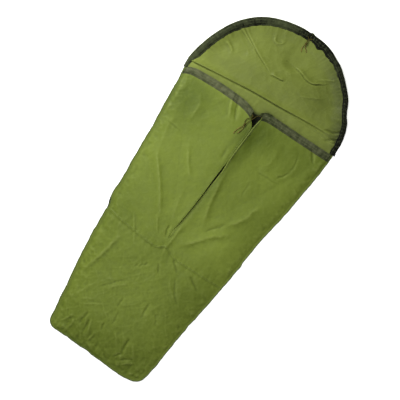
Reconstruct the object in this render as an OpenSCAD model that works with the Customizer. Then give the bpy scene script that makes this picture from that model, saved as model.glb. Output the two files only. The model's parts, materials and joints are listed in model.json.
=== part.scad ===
// Bivy sack laid out flat: a tapered bag with a slit front and a half-moon hood.
// The origin is on the floor under the middle, with +Y to the head and +Z up.
// Points are worked out as [across, along, up], where along starts at the foot edge.

/* [Sack] */
// Foot edge to the upper edge of the mouth hem
body_length = 1676; // [1400:2:2000]
// Width across the side seams at the mouth hem
mouth_width = 960; // [800:10:1100]
// Width across the side seams at the foot
foot_width = 604; // [450:2:700]
// Radius of the two foot corners
foot_corner = 45; // [30:1:80]
// Height of the front along the slit
loft = 45; // [32:1:80]
// Distance from the foot over which the front rises to its full height
foot_rise = 240; // [150:10:400]
// Squareness of the front's cross-section
crown = 3; // [2:0.5:5]
// Thickness of the cloth
cloth = 1.5; // [1:0.1:2.5]

/* [Slit] */
// Foot edge to the seam across the front
cross_seam_at = 712; // [550:2:850]
// Cross seam to the lower end of the slit
slit_above_seam = 58; // [30:1:120]
// Gap between the two edges of the slit
slit_gap = 4; // [3:0.5:8]
// Width of the rolled edge along the slit
rolled_edge_width = 11; // [8:0.5:16]
// Height of the rolled edge along the slit
rolled_edge_height = 3; // [2:0.5:5]
// Rise of the front above the seam at the outer corners of the mouth
corner_lift = 5; // [3:0.5:12]
// Distance from the layers of the side seam to the fold at the corners of the mouth
corner_inset = 5; // [3:0.5:12]

/* [Seams] */
// Width of the layers that overlap at the side and foot seams
seam_margin = 12; // [8:0.5:20]
// Width of the felled cross seam and hood seam
felled_width = 16; // [10:1:24]
// Thickness of the seam strips
seam_strip = 1; // [0.8:0.1:2]

/* [Hood] */
// Mouth hem to the seam that the hood folds on
hood_seam_above_hem = 54; // [40:1:80]
// Hood seam to the outer edge of the hood at its top
hood_length = 470; // [380:2:560]
// How far the hood is wider than the mouth, each side
hood_flare = 10; // [4:1:30]
// Height of the hood's edge above its floor
hood_rise = 24; // [14:1:40]
// Width of the border over which the hood rises
hood_border = 105; // [80:1:160]
// Distance from the hood seam over which the edge reaches its height
hood_ramp = 160; // [100:5:260]

/* [Casings and cords] */
// Width of the casing tape round the mouth and the hood
casing_width = 46; // [36:1:56]
// Height of the tunnel in a casing
casing_height = 6.5; // [6:0.5:9]
// Thickness of the casing tape
casing_tape = 1; // [0.8:0.1:1.4]
// Width of each sewn-down edge of a casing
casing_edge = 8; // [5:0.5:10]
// Half of the gap between two casings where the cords come out
cord_exit = 16; // [14:0.5:24]
// Distance that a mouth casing stops short of the fold of its flap
casing_setback = 20; // [18:1:40]
// Diameter of the cords
cord = 4; // [3:0.25:4.5]
// Diameter of the cord knots
knot = 12; // [11:0.5:16]

/* [Fits] */
// Clearance between layers that lie on each other
fit = 0.3; // [0.2:0.05:0.5]
// Gap along a fold or between two panels that are sewn edge to edge
fold_gap = 0.8; // [0.6:0.1:1.2]

/* [Hidden] */
$fn = 48;
olive = [0.36, 0.43, 0.16];
hood_olive = [0.43, 0.49, 0.23];
seam_olive = [0.31, 0.36, 0.25];
tape_olive = [0.33, 0.36, 0.25];
rim_olive = [0.20, 0.24, 0.14];
cord_tan = [0.45, 0.42, 0.26];

hood_seam_at = body_length + hood_seam_above_hem;
hood_start = hood_seam_at + fold_gap / 2;
hood_depth = hood_length - fold_gap / 2;
hood_half = mouth_width / 2 + hood_flare;
middle = (hood_seam_at + hood_length - fit - seam_strip) / 2;
slit_at = cross_seam_at + slit_above_seam;
edge_top = 2 * cloth + fit;

// The fold of a flap runs from the foot of the slit to the outer corner of the mouth.
corner_x = mouth_width / 2 - seam_margin - corner_inset;
corner_z = edge_top + corner_lift;
flap_slope = (loft - corner_z) / corner_x;
flap_tilt = atan(flap_slope);
fold_run = corner_x / (body_length - slit_at);
fold_shift = fold_gap / 2 * sqrt(1 + fold_run * fold_run);

// Columns across a panel, closer together toward the seams, from -1 to 1.
column_count = 16;
columns = [for (i = [0:column_count]) -cos(180 * i / column_count)];
half_columns = [for (c = columns) if (c > -0.001) max(0, c)];
row_count = 9;

// Rows round the foot corners, one of them where the layers of the foot seam end.
margin_angle = acos(1 - seam_margin / foot_corner);
corner_steps = 3;
corner_angles = concat(
    [for (i = [0:corner_steps - 1]) margin_angle * i / corner_steps],
    [for (i = [0:corner_steps]) margin_angle + (90 - margin_angle) * i / corner_steps]
);
corner_rows = [for (a = corner_angles) foot_corner * (1 - cos(a))];
foot_centre = side_half(foot_corner) - foot_corner;

// The hood's casing is set back from the hood's edge, and its cord runs down the middle of it.
hood_casing_from = hood_depth - casing_width - casing_tape;
hood_cord_ring = (hood_casing_from + casing_width / 2) / hood_depth;

// Angles round the hood, from its left end to its right end, with a casing on each side.
hood_end_angle = 4;
hood_step_count = 12;
exit_angle = acos(cord_exit / (hood_cord_ring * hood_half));
cord_end_angle = acos((cord_exit + fit) / (hood_cord_ring * hood_half));
hood_right_angles = [for (i = [0:hood_step_count])
    hood_end_angle + (exit_angle - hood_end_angle) * (1 - i / hood_step_count)];
hood_left_angles = [for (i = [hood_step_count:-1:0]) 180 - hood_right_angles[i]];
hood_angles = concat([180], hood_left_angles, [90], hood_right_angles, [0]);

// Profile of a casing: distance from its inner edge and height of the tape's underside.
tunnel_top = casing_height - casing_tape;
tunnel_side = casing_edge + tunnel_top;
casing_profile = [
    [0, 0],
    [casing_edge, 0],
    [tunnel_side, tunnel_top],
    [casing_width - tunnel_side, tunnel_top],
    [casing_width - casing_edge, 0],
    [casing_width, 0]
];
hood_rings = concat(
    [0, 0.3, 0.55],
    [1 - hood_border / hood_depth],
    [(hood_casing_from - hood_border / 4) / hood_depth],
    [for (p = casing_profile) (hood_casing_from + p[0]) / hood_depth],
    [1]
);
hood_bowl = [for (ring = hood_rings) [ring, smooth((ring - 1) * hood_depth / hood_border + 1)]];

// Cord routes, chosen by hand: [across, back from the casing's middle line, rise].
// A knot lies with its middle at its place, and the cords end just clear of it.
knot_rise = knot / 2 - cord / 2;
knot_half_length = 9;
knot_reach = knot_half_length + 2 * fit;
mouth_knot_place = [-28, 92];
hood_knot_place = [0, 40];
mouth_knot_in = mouth_knot_place[1] - knot_reach;
mouth_knot_out = mouth_knot_place[1] + knot_reach;
hood_knot_in = hood_knot_place[1] - knot_reach;
hood_knot_out = hood_knot_place[1] + knot_reach;
left_mouth_route = [
    [-16, 0, 0], [-11, 0, 0], [-6, 6, 3], [-8, 14, 4], [-16, 26, 4],
    [-26, 44, 1], [-32, 64, 1], [-31, mouth_knot_in, knot_rise]
];
right_mouth_route = [
    [16, 0, 0], [10, 0, 0], [4, 5, 3], [1, 14, 5], [-3, 26, 4],
    [-11, 44, 3], [-21, 64, 2], [-25, mouth_knot_in, knot_rise]
];
left_mouth_tail = [
    [-31, mouth_knot_out, knot_rise], [-36, 118, 0], [-43, 136, 0], [-45, 154, 0]
];
right_mouth_tail = [
    [-25, mouth_knot_out, knot_rise], [-26, 120, 0], [-31, 140, 0], [-38, 158, 0]
];
left_hood_route = [
    [-16, 0, 0], [-11, 0, 0], [-5, 7, 0], [-4, 17, 0], [-3, hood_knot_in, knot_rise]
];
right_hood_route = [
    [16, 0, 0], [11, 0, 0], [5, 7, 0], [4, 17, 0], [3, hood_knot_in, knot_rise]
];
left_hood_tail = [[-3, hood_knot_out, knot_rise], [-6, 62, 0], [-4, 76, 0], [2, 88, 0]];
right_hood_tail = [[3, hood_knot_out, knot_rise], [10, 60, 0], [20, 66, 0], [28, 76, 0]];
cord_sides = 8;

function smooth(t) = let (c = min(1, max(0, t))) c * c * (3 - 2 * c);

// Half of the width of the sack at a distance from the foot, with the foot corners rounded.
function side_half(along) =
    foot_width / 2 + (mouth_width - foot_width) / 2 * along / body_length;
function half_at(along) = along >= foot_corner ? side_half(along)
    : foot_centre + sqrt(pow(foot_corner, 2) - pow(foot_corner - along, 2));

// The same, inside the layers of the side and foot seams.
function inner_half(along) = along >= foot_corner ? side_half(along) - seam_margin
    : along <= seam_margin ? foot_centre - seam_margin + along
    : foot_centre + sqrt(pow(foot_corner - seam_margin, 2) - pow(foot_corner - along, 2));

// Height of the top of the front, which rises from the foot and falls to the side seams.
function rise_at(along) =
    (loft - edge_top) * sin(90 * min(1, max(0, along - seam_margin) / foot_rise));
function crowned(t) = 1 - pow(min(1, t), crown);
function front_row(along) = let (half = half_at(along), inner = inner_half(along)) concat(
    [[-half, along, edge_top]],
    [for (c = columns) [c * inner, along, edge_top + rise_at(along) * crowned(abs(c))]],
    [[half, along, edge_top]]
);

// The fixed part of an upper panel lies between the fold of its flap and the side seam.
function fold_x(along) = max(0, along - slit_at) * fold_run;
function side_row(along) = let (
    half = half_at(along),
    inner = fold_x(along) + fold_shift,
    outer = half - seam_margin,
    top = loft - flap_slope * fold_x(along)
) concat(
    [for (c = half_columns)
        [inner + c * (outer - inner), along, edge_top + (top - edge_top) * crowned(c)]],
    [[half, along, edge_top]]
);

// The hood's floor lies on the ground and its border rises like a shallow bowl.
function hood_lift(ring, angle) = hood_rise * lookup(ring, hood_bowl)
    * smooth(ring * hood_depth * sin(angle) / hood_ramp);
function hood_point(ring, angle, up) = [
    ring * hood_half * cos(angle),
    hood_start + ring * hood_depth * sin(angle),
    cloth + hood_lift(ring, angle) + up
];
function hood_top(x, along) = let (
    u = x / hood_half,
    v = (along - hood_start) / hood_depth
) hood_point(norm([u, v]), atan2(v, u), 0)[2];

// Routes in space: on the left flap for the mouth cords and in the hood for its cords.
cord_lift = fit + cord / 2;
mouth_line = body_length - casing_width / 2;
hood_line = hood_start + hood_cord_ring * hood_depth * sin(exit_angle);
function mouth_point(p) =
    [p[0], mouth_line - p[1], loft - flap_slope * abs(p[0]) + cord_lift + p[2]];
function hood_cord_point(p) = let (along = hood_line - p[1])
    [p[0], along, hood_top(p[0], along) + cord_lift + p[2]];
function unit(v) = v / norm(v);
function tangent(path, i) =
    unit(path[min(i + 1, len(path) - 1)] - path[max(i - 1, 0)]);

// A layer of cloth between a grid of points and the same grid lowered by its thickness.
// With pole set, the first row is a single point.
module layer(rows, thickness, pole = false) {
    cols = len(rows[0]);
    last = len(rows) - 1;
    count = len(rows) * cols;
    function at(i, j) = pole && i == 0 ? 0 : i * cols + j;
    top = [for (i = [0:last - 1], j = [0:cols - 2]) each concat(
        [[at(i, j), at(i + 1, j), at(i + 1, j + 1)]],
        pole && i == 0 ? [] : [[at(i, j), at(i + 1, j + 1), at(i, j + 1)]]
    )];
    rim = concat(
        pole ? [0] : [for (j = [0:cols - 1]) at(0, j)],
        [for (i = [1:last]) at(i, cols - 1)],
        [for (j = [cols - 2:-1:0]) at(last, j)],
        last < 2 ? [] : [for (i = [last - 1:-1:1]) at(i, 0)]
    );
    points = [for (row = rows) each row];
    polyhedron(
        concat(points, [for (p = points) p - [0, 0, thickness]]),
        concat(
            top,
            [for (f = top) [f[2] + count, f[1] + count, f[0] + count]],
            [for (i = [0:len(rim) - 1]) let (a = rim[i], b = rim[(i + 1) % len(rim)])
                each [[a, b, b + count], [a, b + count, a + count]]]
        )
    );
}

// A cord swept along a route.
module cord_along(path) {
    last = len(path) - 1;
    rings = [for (i = [0:last]) let (
        t = tangent(path, i),
        side = unit(cross([0, 0, 1], t)),
        up = cross(t, side)
    ) [for (k = [0:cord_sides - 1]) let (a = 360 * k / cord_sides)
        path[i] + cord / 2 * (cos(a) * side + sin(a) * up)]];
    polyhedron(
        [for (r = rings) each r],
        concat(
            [[for (k = [0:cord_sides - 1]) k]],
            [for (i = [0:last - 1], k = [0:cord_sides - 1]) let (
                a = i * cord_sides + k,
                b = i * cord_sides + (k + 1) % cord_sides
            ) each [[a, a + cord_sides, b], [b, a + cord_sides, b + cord_sides]]],
            [[for (k = [cord_sides - 1:-1:0]) last * cord_sides + k]]
        )
    );
}

// Moves from distances along the sack to the part's own frame.
module laid_out() {
    translate([0, -middle, 0])
        children();
}

// The side that a piece is made for: 1 for the right, and -1 for its mirror image.
module on_side(side) {
    laid_out()
        mirror([side < 0 ? 1 : 0, 0, 0])
            children();
}

// The plane of the right flap, with its top at zero and x running down the slope.
module on_flap() {
    translate([0, 0, loft])
        rotate([0, flap_tilt, 0])
            children();
}

// Outline of a flap in its own plane, drawn back from the fold.
module flap_outline(setback) {
    run = fold_run / cos(flap_tilt);
    shift = setback * sqrt(1 + run * run);
    edge = slit_gap / 2;
    polygon([
        [edge, slit_at + (edge + shift) / run],
        [edge, body_length],
        [run * (body_length - slit_at) - shift, body_length]
    ]);
}

// Outline of the base, from the foot with its rounded corners to the hood seam.
module base_outline() {
    right = concat(
        [for (s = corner_rows) [half_at(s), s]],
        [[side_half(hood_seam_at), hood_seam_at - fold_gap / 2]]
    );
    polygon(concat(
        right,
        [for (i = [len(right) - 1:-1:0]) [-right[i][0], right[i][1]]]
    ));
}

// Section of the strip that closes a side or foot seam, with its outside at x = 0.
module seam_section() {
    top = edge_top + fit;
    polygon([
        [fit, 0],
        [fit + seam_strip, 0],
        [fit + seam_strip, top + seam_strip],
        [-seam_margin + fit, top + seam_strip],
        [-seam_margin + fit, top],
        [fit, top]
    ]);
}

// Section of a casing tape with its tunnel.
module casing_section() {
    polygon(concat(
        casing_profile,
        [for (i = [len(casing_profile) - 1:-1:0]) casing_profile[i] + [0, casing_tape]]
    ));
}

// A cord knot of three turns, lying along the sack with its middle at a place.
// The pitch raises its end toward the head.
module knot_turns(place, pitch) {
    turn = cord / 2;
    translate(place)
        rotate([90 + pitch, 0, 0])
            rotate_extrude() {
                translate([0, -knot_half_length + turn / 2])
                    square([knot / 2 - turn, 2 * knot_half_length - turn]);
                for (i = [-1:1])
                    translate([knot / 2 - turn, i * (knot_half_length - turn)])
                        circle(turn);
            }
}

module base_panel() {
    color(olive)
        laid_out()
            linear_extrude(cloth)
                base_outline();
}

module lower_front_panel() {
    end = cross_seam_at - fold_gap / 2;
    rows = concat(
        corner_rows,
        [for (i = [1:row_count]) foot_corner + (end - foot_corner) * pow(i / row_count, 1.3)]
    );
    color(olive)
        laid_out()
            layer([for (s = rows) front_row(s)], cloth);
}

module front_panel(side) {
    rows = concat(
        [cross_seam_at + fold_gap / 2],
        [for (i = [0:row_count]) slit_at + (body_length - slit_at) * i / row_count]
    );
    color(olive)
        on_side(side)
            layer([for (s = rows) side_row(s)], cloth);
}

module left_front_panel() {
    front_panel(-1);
}

module right_front_panel() {
    front_panel(1);
}

module side_seam(side) {
    start = [side_half(foot_corner), foot_corner + fold_gap];
    run = [side_half(body_length), body_length] - start;
    color(seam_olive)
        on_side(side)
            translate(start)
                rotate([0, 0, -atan2(run[0], run[1])])
                    rotate([90, 0, 0])
                        mirror([0, 0, 1])
                            linear_extrude(norm(run))
                                seam_section();
}

module left_side_seam() {
    side_seam(-1);
}

module right_side_seam() {
    side_seam(1);
}

module foot_seam() {
    color(seam_olive)
        laid_out() {
            rotate([90, 0, -90])
                translate([0, 0, -foot_centre])
                    linear_extrude(2 * foot_centre)
                        seam_section();
            for (side = [0, 1])
                mirror([side, 0, 0])
                    translate([foot_centre, foot_corner, 0])
                        rotate([0, 0, -90])
                            rotate_extrude(angle = 90)
                                translate([foot_corner, 0])
                                    seam_section();
        }
}

module cross_seam() {
    ends = [cross_seam_at - felled_width / 2, cross_seam_at + felled_width / 2];
    color(seam_olive)
        laid_out()
            layer(
                [for (s = ends) [for (i = [1:len(columns)])
                    front_row(s)[i] + [0, 0, fit + seam_strip]]],
                seam_strip
            );
}

module hood_seam() {
    half = side_half(body_length) - seam_margin - felled_width;
    color(seam_olive)
        laid_out()
            translate([-half, hood_seam_at - fold_gap - felled_width, cloth + fit])
                cube([2 * half, felled_width, seam_strip]);
}

module front_flap(side) {
    color(olive)
        on_side(side)
            on_flap()
                translate([0, 0, -cloth])
                    linear_extrude(cloth)
                        flap_outline(fold_gap / 2);
}

module left_front_flap() {
    front_flap(-1);
}

module right_front_flap() {
    front_flap(1);
}

module slit_edge(side) {
    radius = rolled_edge_height / 2 + pow(rolled_edge_width, 2) / (8 * rolled_edge_height);
    start = slit_at + casing_setback / fold_run;
    color(seam_olive)
        on_side(side)
            on_flap()
                translate([slit_gap / 2 + rolled_edge_width / 2, start, fit])
                    rotate([90, 0, 0])
                        mirror([0, 0, 1])
                            linear_extrude(body_length - casing_width - fit - start)
                                intersection() {
                                    translate([0, rolled_edge_height - radius])
                                        circle(radius);
                                    translate([-radius, 0])
                                        square([2 * radius, rolled_edge_height]);
                                }
}

module left_slit_edge() {
    slit_edge(-1);
}

module right_slit_edge() {
    slit_edge(1);
}

module mouth_casing(side) {
    color(tape_olive)
        on_side(side)
            on_flap()
                intersection() {
                    translate([cord_exit, body_length - casing_width, fit])
                        rotate([90, 0, 90])
                            linear_extrude(corner_x)
                                casing_section();
                    linear_extrude(2 * casing_height)
                        flap_outline(casing_setback);
                }
}

module left_mouth_casing() {
    mouth_casing(-1);
}

module right_mouth_casing() {
    mouth_casing(1);
}

// The cord runs from the slit to where the outer end of its casing is sewn down.
module mouth_cord(side) {
    casing_end = fold_x(mouth_line) - casing_setback * sqrt(1 + fold_run * fold_run);
    start = cord_exit / cos(flap_tilt) + fit;
    color(cord_tan)
        on_side(side)
            on_flap()
                translate([start, mouth_line, cord_lift])
                    rotate([0, 90, 0])
                        cylinder(h = casing_end - casing_edge - start, d = cord);
}

module left_mouth_cord() {
    mouth_cord(-1);
}

module right_mouth_cord() {
    mouth_cord(1);
}

module mouth_cord_strands() {
    color(cord_tan)
        laid_out()
            for (route = [left_mouth_route, right_mouth_route])
                cord_along([for (p = route) mouth_point(p)]);
}

module mouth_knot() {
    place = mouth_point([mouth_knot_place[0], mouth_knot_place[1], knot_rise]);
    color(cord_tan)
        laid_out()
            knot_turns(place, 0);
}

module mouth_cord_tails() {
    color(cord_tan)
        laid_out()
            for (route = [left_mouth_tail, right_mouth_tail])
                cord_along([for (p = route) mouth_point(p)]);
}

module hood_panel() {
    rows = [for (ring = hood_rings) [for (a = hood_angles) hood_point(ring, a, 0)]];
    color(hood_olive)
        laid_out()
            layer(rows, cloth, pole = true);
}

module hood_casing(angles) {
    rows = [for (p = casing_profile) [for (a = angles)
        hood_point((hood_casing_from + p[0]) / hood_depth, a, fit + p[1] + casing_tape)]];
    color(rim_olive)
        laid_out()
            layer(rows, casing_tape);
}

module left_hood_casing() {
    hood_casing(hood_left_angles);
}

module right_hood_casing() {
    hood_casing(hood_right_angles);
}

// A cord in the hood's casing stops just short of the strand that comes out of it.
module hood_cord(angles) {
    ends = [for (a = angles) a < 90 ? min(a, cord_end_angle) : max(a, 180 - cord_end_angle)];
    color(cord_tan)
        laid_out()
            cord_along([for (a = ends) hood_point(hood_cord_ring, a, cord_lift + fit)]);
}

module left_hood_cord() {
    hood_cord(hood_left_angles);
}

module right_hood_cord() {
    hood_cord(hood_right_angles);
}

module hood_cord_strands() {
    color(cord_tan)
        laid_out()
            for (route = [left_hood_route, right_hood_route])
                cord_along([for (p = route) hood_cord_point(p)]);
}

module hood_knot() {
    x = hood_knot_place[0];
    along = hood_line - hood_knot_place[1];
    near = hood_top(x, along - knot_half_length);
    far = hood_top(x, along + knot_half_length);
    pitch = atan2(far - near, 2 * knot_half_length);
    place = [x, along, (near + far) / 2 + (fit + knot / 2) / cos(pitch)];
    color(cord_tan)
        laid_out()
            knot_turns(place, pitch);
}

module hood_cord_tails() {
    color(cord_tan)
        laid_out()
            for (route = [left_hood_tail, right_hood_tail])
                cord_along([for (p = route) hood_cord_point(p)]);
}

base_panel();
lower_front_panel();
left_front_panel();
right_front_panel();
left_side_seam();
right_side_seam();
foot_seam();
cross_seam();
hood_seam();
left_front_flap();
right_front_flap();
left_slit_edge();
right_slit_edge();
left_mouth_casing();
right_mouth_casing();
left_mouth_cord();
right_mouth_cord();
mouth_cord_strands();
mouth_knot();
mouth_cord_tails();
hood_panel();
left_hood_casing();
right_hood_casing();
left_hood_cord();
right_hood_cord();
hood_cord_strands();
hood_knot();
hood_cord_tails();
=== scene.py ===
"""A bivy sack laid out flat on a pale floor: cloth with its folds, seams, tape casings and draw cords."""

import json
import logging
import math
from collections.abc import Callable
from dataclasses import dataclass, field
from enum import Enum
from typing import ClassVar

import bpy
import numpy as np
from bpy.types import Material, Node, NodeSocket, NodeTree, Object
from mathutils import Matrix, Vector

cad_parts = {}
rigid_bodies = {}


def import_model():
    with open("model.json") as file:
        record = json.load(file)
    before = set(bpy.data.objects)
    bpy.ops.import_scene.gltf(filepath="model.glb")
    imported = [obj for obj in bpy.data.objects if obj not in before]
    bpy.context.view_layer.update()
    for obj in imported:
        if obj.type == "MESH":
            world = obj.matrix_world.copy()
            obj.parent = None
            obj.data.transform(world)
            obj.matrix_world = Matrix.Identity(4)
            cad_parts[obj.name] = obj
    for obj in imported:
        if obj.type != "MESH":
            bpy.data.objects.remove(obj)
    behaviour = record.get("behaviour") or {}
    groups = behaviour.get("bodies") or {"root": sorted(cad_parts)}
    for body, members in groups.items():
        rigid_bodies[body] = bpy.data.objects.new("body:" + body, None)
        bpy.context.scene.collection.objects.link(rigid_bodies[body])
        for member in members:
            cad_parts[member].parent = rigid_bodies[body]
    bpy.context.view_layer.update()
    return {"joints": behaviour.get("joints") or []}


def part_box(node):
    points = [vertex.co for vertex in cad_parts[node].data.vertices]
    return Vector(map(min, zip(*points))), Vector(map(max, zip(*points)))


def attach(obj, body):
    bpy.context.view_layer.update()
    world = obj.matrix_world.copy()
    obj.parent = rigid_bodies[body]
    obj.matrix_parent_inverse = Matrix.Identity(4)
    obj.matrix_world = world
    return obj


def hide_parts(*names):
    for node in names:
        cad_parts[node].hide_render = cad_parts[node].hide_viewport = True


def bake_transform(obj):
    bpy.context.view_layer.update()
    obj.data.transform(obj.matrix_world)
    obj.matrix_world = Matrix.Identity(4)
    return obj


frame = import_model()
LOG = logging.getLogger("bivy_sack")
MM = 0.001
Array = np.ndarray
Colour = tuple[float, float, float, float]
Point = tuple[float, float]
Spot = tuple[float, float, float]
Curve = tuple[Point, ...]
Surface = Callable[[Array, Array], Array]


class Side(Enum):
    """The two sides of the sack, seen from above with the hood at the top."""

    LEFT = -1
    RIGHT = 1

    @property
    def word(self) -> str:
        """The side's name as the CAD nodes spell it."""
        return self.name.lower()


class FoldForm(Enum):
    """How the cloth stands across the line of a fold."""

    RIDGE = 1
    VALLEY = -1


RIDGE, VALLEY = FoldForm


def smooth(t: Array) -> Array:
    """Eases t from 0 to 1, flat at both ends."""
    t = np.clip(t, 0.0, 1.0)
    return t * t * (3.0 - 2.0 * t)


def rising(at: Array, start: float, over: float) -> Array:
    """Eases from 0 at a start to 1 some way past it."""
    return smooth((at - start) / over)


def falling(at: Array, end: float, over: float) -> Array:
    """Eases from 1 some way before an end to 0 at it."""
    return smooth((end - at) / over)


def hump(at: Array, middle: float, reach: float) -> Array:
    """Gives a soft hump, 1 at its middle."""
    return np.exp(-((at - middle) / reach) ** 2)


def linear(v: float) -> float:
    """Turns one part of a screen colour into light, both 0 to 1."""
    return v / 12.92 if v <= 0.04045 else ((v + 0.055) / 1.055) ** 2.4


def dye(red: int, green: int, blue: int) -> Colour:
    """Turns a colour as seen on a screen into the linear colour that the shaders take."""
    return (*(linear(v / 255.0) for v in (red, green, blue)), 1.0)


def smooth_line(points: Array, count: int) -> Array:
    """Runs one smooth curve through points.

    Args:
        points: The points in order, one a row.
        count: How many points the curve gets.

    Returns:
        The curve's points, evenly spread over the spans.
    """
    p = np.asarray(points, float)
    ends = np.vstack([2 * p[0] - p[1], p, 2 * p[-1] - p[-2]])
    at = np.linspace(0, len(p) - 1, count)
    i = np.minimum(at.astype(int), len(p) - 2)
    t = (at - i)[:, None]
    a, b, c, d = (ends[i + k] for k in range(4))
    return 0.5 * (2 * b + (c - a) * t + (2 * a - 5 * b + 4 * c - d) * t ** 2
                  + (3 * b - a - 3 * c + d) * t ** 3)


def run_along(line: Array) -> Array:
    """Measures how far along a line each of its points is."""
    return np.concatenate([[0], np.cumsum(np.linalg.norm(np.diff(line, axis=0), axis=1))])


def even_line(line: Array, step: float) -> Array:
    """Spreads the points of a line evenly.

    Args:
        line: The line's points, one a row.
        step: About how far apart the new points are.

    Returns:
        The new points, three or more.
    """
    along = run_along(line)
    at = np.linspace(0, along[-1], max(3, int(along[-1] / step) + 1))
    return np.stack([np.interp(at, along, line[:, k]) for k in range(line.shape[1])], axis=1)


def eased(at: Array, places: Curve) -> Array:
    """Reads a value off a smooth curve through places given as (where, value)."""
    return np.interp(at, *smooth_line(np.array(places), 12 * len(places)).T)


def unit(rows: Array) -> Array:
    """Scales each row to length 1."""
    return rows / np.linalg.norm(rows, axis=1)[:, None]


def frames_along(line: Array) -> tuple[Array, Array, Array]:
    """Finds the ways along a line, across it and up from it.

    Args:
        line: The line's points, one a row.

    Returns:
        The three ways, each with a unit vector a point.
    """
    along = unit(np.gradient(line, axis=0))
    across = unit(np.cross(along, (0, 0, 1.0)))
    return along, across, np.cross(across, along)


def circles(across: Array, up: Array, turn: Array, squash: float = 1.0) -> Array:
    """Gives the points of a circle, flattened by squash, round each point of a line."""
    return np.cos(turn)[:, None] * across[:, None] + squash * np.sin(turn)[:, None] * up[:, None]


# These numbers scatter the slopes of the noise. Others would only give another field.
SHIFT_U, SHIFT_V = 7.13, 3.77
TURN_I, TURN_J, TURN_LAYER, TURN_SCALE = 127.1, 311.7, 17.0, 43758.5
FIRST_SHARE = 1.4


def crumple(x: Array, y: Array, size: float, octaves: int, seed: float) -> Array:
    """Gives fractal unevenness at points of the cloth.

    Args:
        x: Places across, in millimetres.
        y: Places along, in millimetres.
        size: Width of the largest bumps, in millimetres.
        octaves: How many finer layers are added.
        seed: Chooses another part of the same field.

    Returns:
        Heights of about -1 to 1, in the shape of x.
    """
    out, share = np.zeros(np.shape(x)), FIRST_SHARE
    for layer in range(octaves):
        u, v = x / size + seed * SHIFT_U, y / size - seed * SHIFT_V
        i, j = np.floor(u), np.floor(v)

        def pull(right: int, up: int) -> Array:
            """Slope of one corner of the cell, met at the place."""
            turn = np.sin((i + right) * TURN_I + (j + up) * TURN_J + layer * TURN_LAYER) * TURN_SCALE
            return (u - i - right) * np.cos(turn) + (v - j - up) * np.sin(turn)

        across, along = smooth(u - i), smooth(v - j)
        low = pull(0, 0) * (1 - across) + pull(1, 0) * across
        high = pull(0, 1) * (1 - across) + pull(1, 1) * across
        out += share * (low * (1 - along) + high * along)
        size, share = size / 2, share / 2
    return out


def crinkle(x: Array, y: Array, size: float, turn: float, seed: float) -> Array:
    """Gives sharp little ridges that run mostly one way, as set creases do.

    Args:
        x: Places across, in millimetres.
        y: Places along, in millimetres.
        size: Distance between ridges, in millimetres.
        turn: The way they run, in degrees from the length of the sack.
        seed: Chooses another part of the same field.

    Returns:
        Heights of 0 to 1, in the shape of x.
    """
    c, s = math.cos(math.radians(turn)), math.sin(math.radians(turn))
    long, narrow, peaked = 0.5, 2.4, 1.5
    bumps = crumple(x * c + y * s, (y * c - x * s) * long, size, 2, seed)
    return np.clip(1 - narrow * np.abs(bumps), 0, 1) ** peaked


@dataclass(frozen=True)
class Bumps:
    """One layer of uneven bumps in the cloth, in millimetres."""

    height: float
    size: float
    seed: float
    stretch: Point = (1.0, 1.0)
    octaves: int = 2

    def at(self, x: Array, y: Array) -> Array:
        """Gives the layer's lift at places of the cloth."""
        u, v = x * self.stretch[0], y * self.stretch[1]
        return self.height * crumple(u, v, self.size, self.octaves, self.seed)


@dataclass(frozen=True)
class Creases:
    """One layer of set creases that run mostly one way, in millimetres and degrees."""

    height: float
    size: float
    turn: float
    seed: float

    def at(self, x: Array, y: Array) -> Array:
        """Gives the layer's lift at places of the cloth."""
        return self.height * crinkle(x, y, self.size, self.turn, self.seed)


@dataclass(frozen=True)
class EvenPlace:
    """A place where the cloth is kept even, because a cord's knot slides over it."""

    x: float
    y: float
    half_x: float
    half_y: float
    left: float
    margin: float = 0.0
    over: float = 50.0

    def at(self, x: Array, y: Array) -> Array:
        """Gives the share of the folds that is left at places as laid.

        Args:
            x: Places across, as laid.
            y: Places along, as laid.

        Returns:
            The share, 1 well away from the place.
        """
        off_x = np.maximum(0, np.abs(x - self.x) - self.half_x)
        off_y = np.maximum(0, np.abs(y - self.y) - self.half_y)
        return self.left + (1 - self.left) * rising(np.hypot(off_x, off_y), self.margin, self.over)


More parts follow.
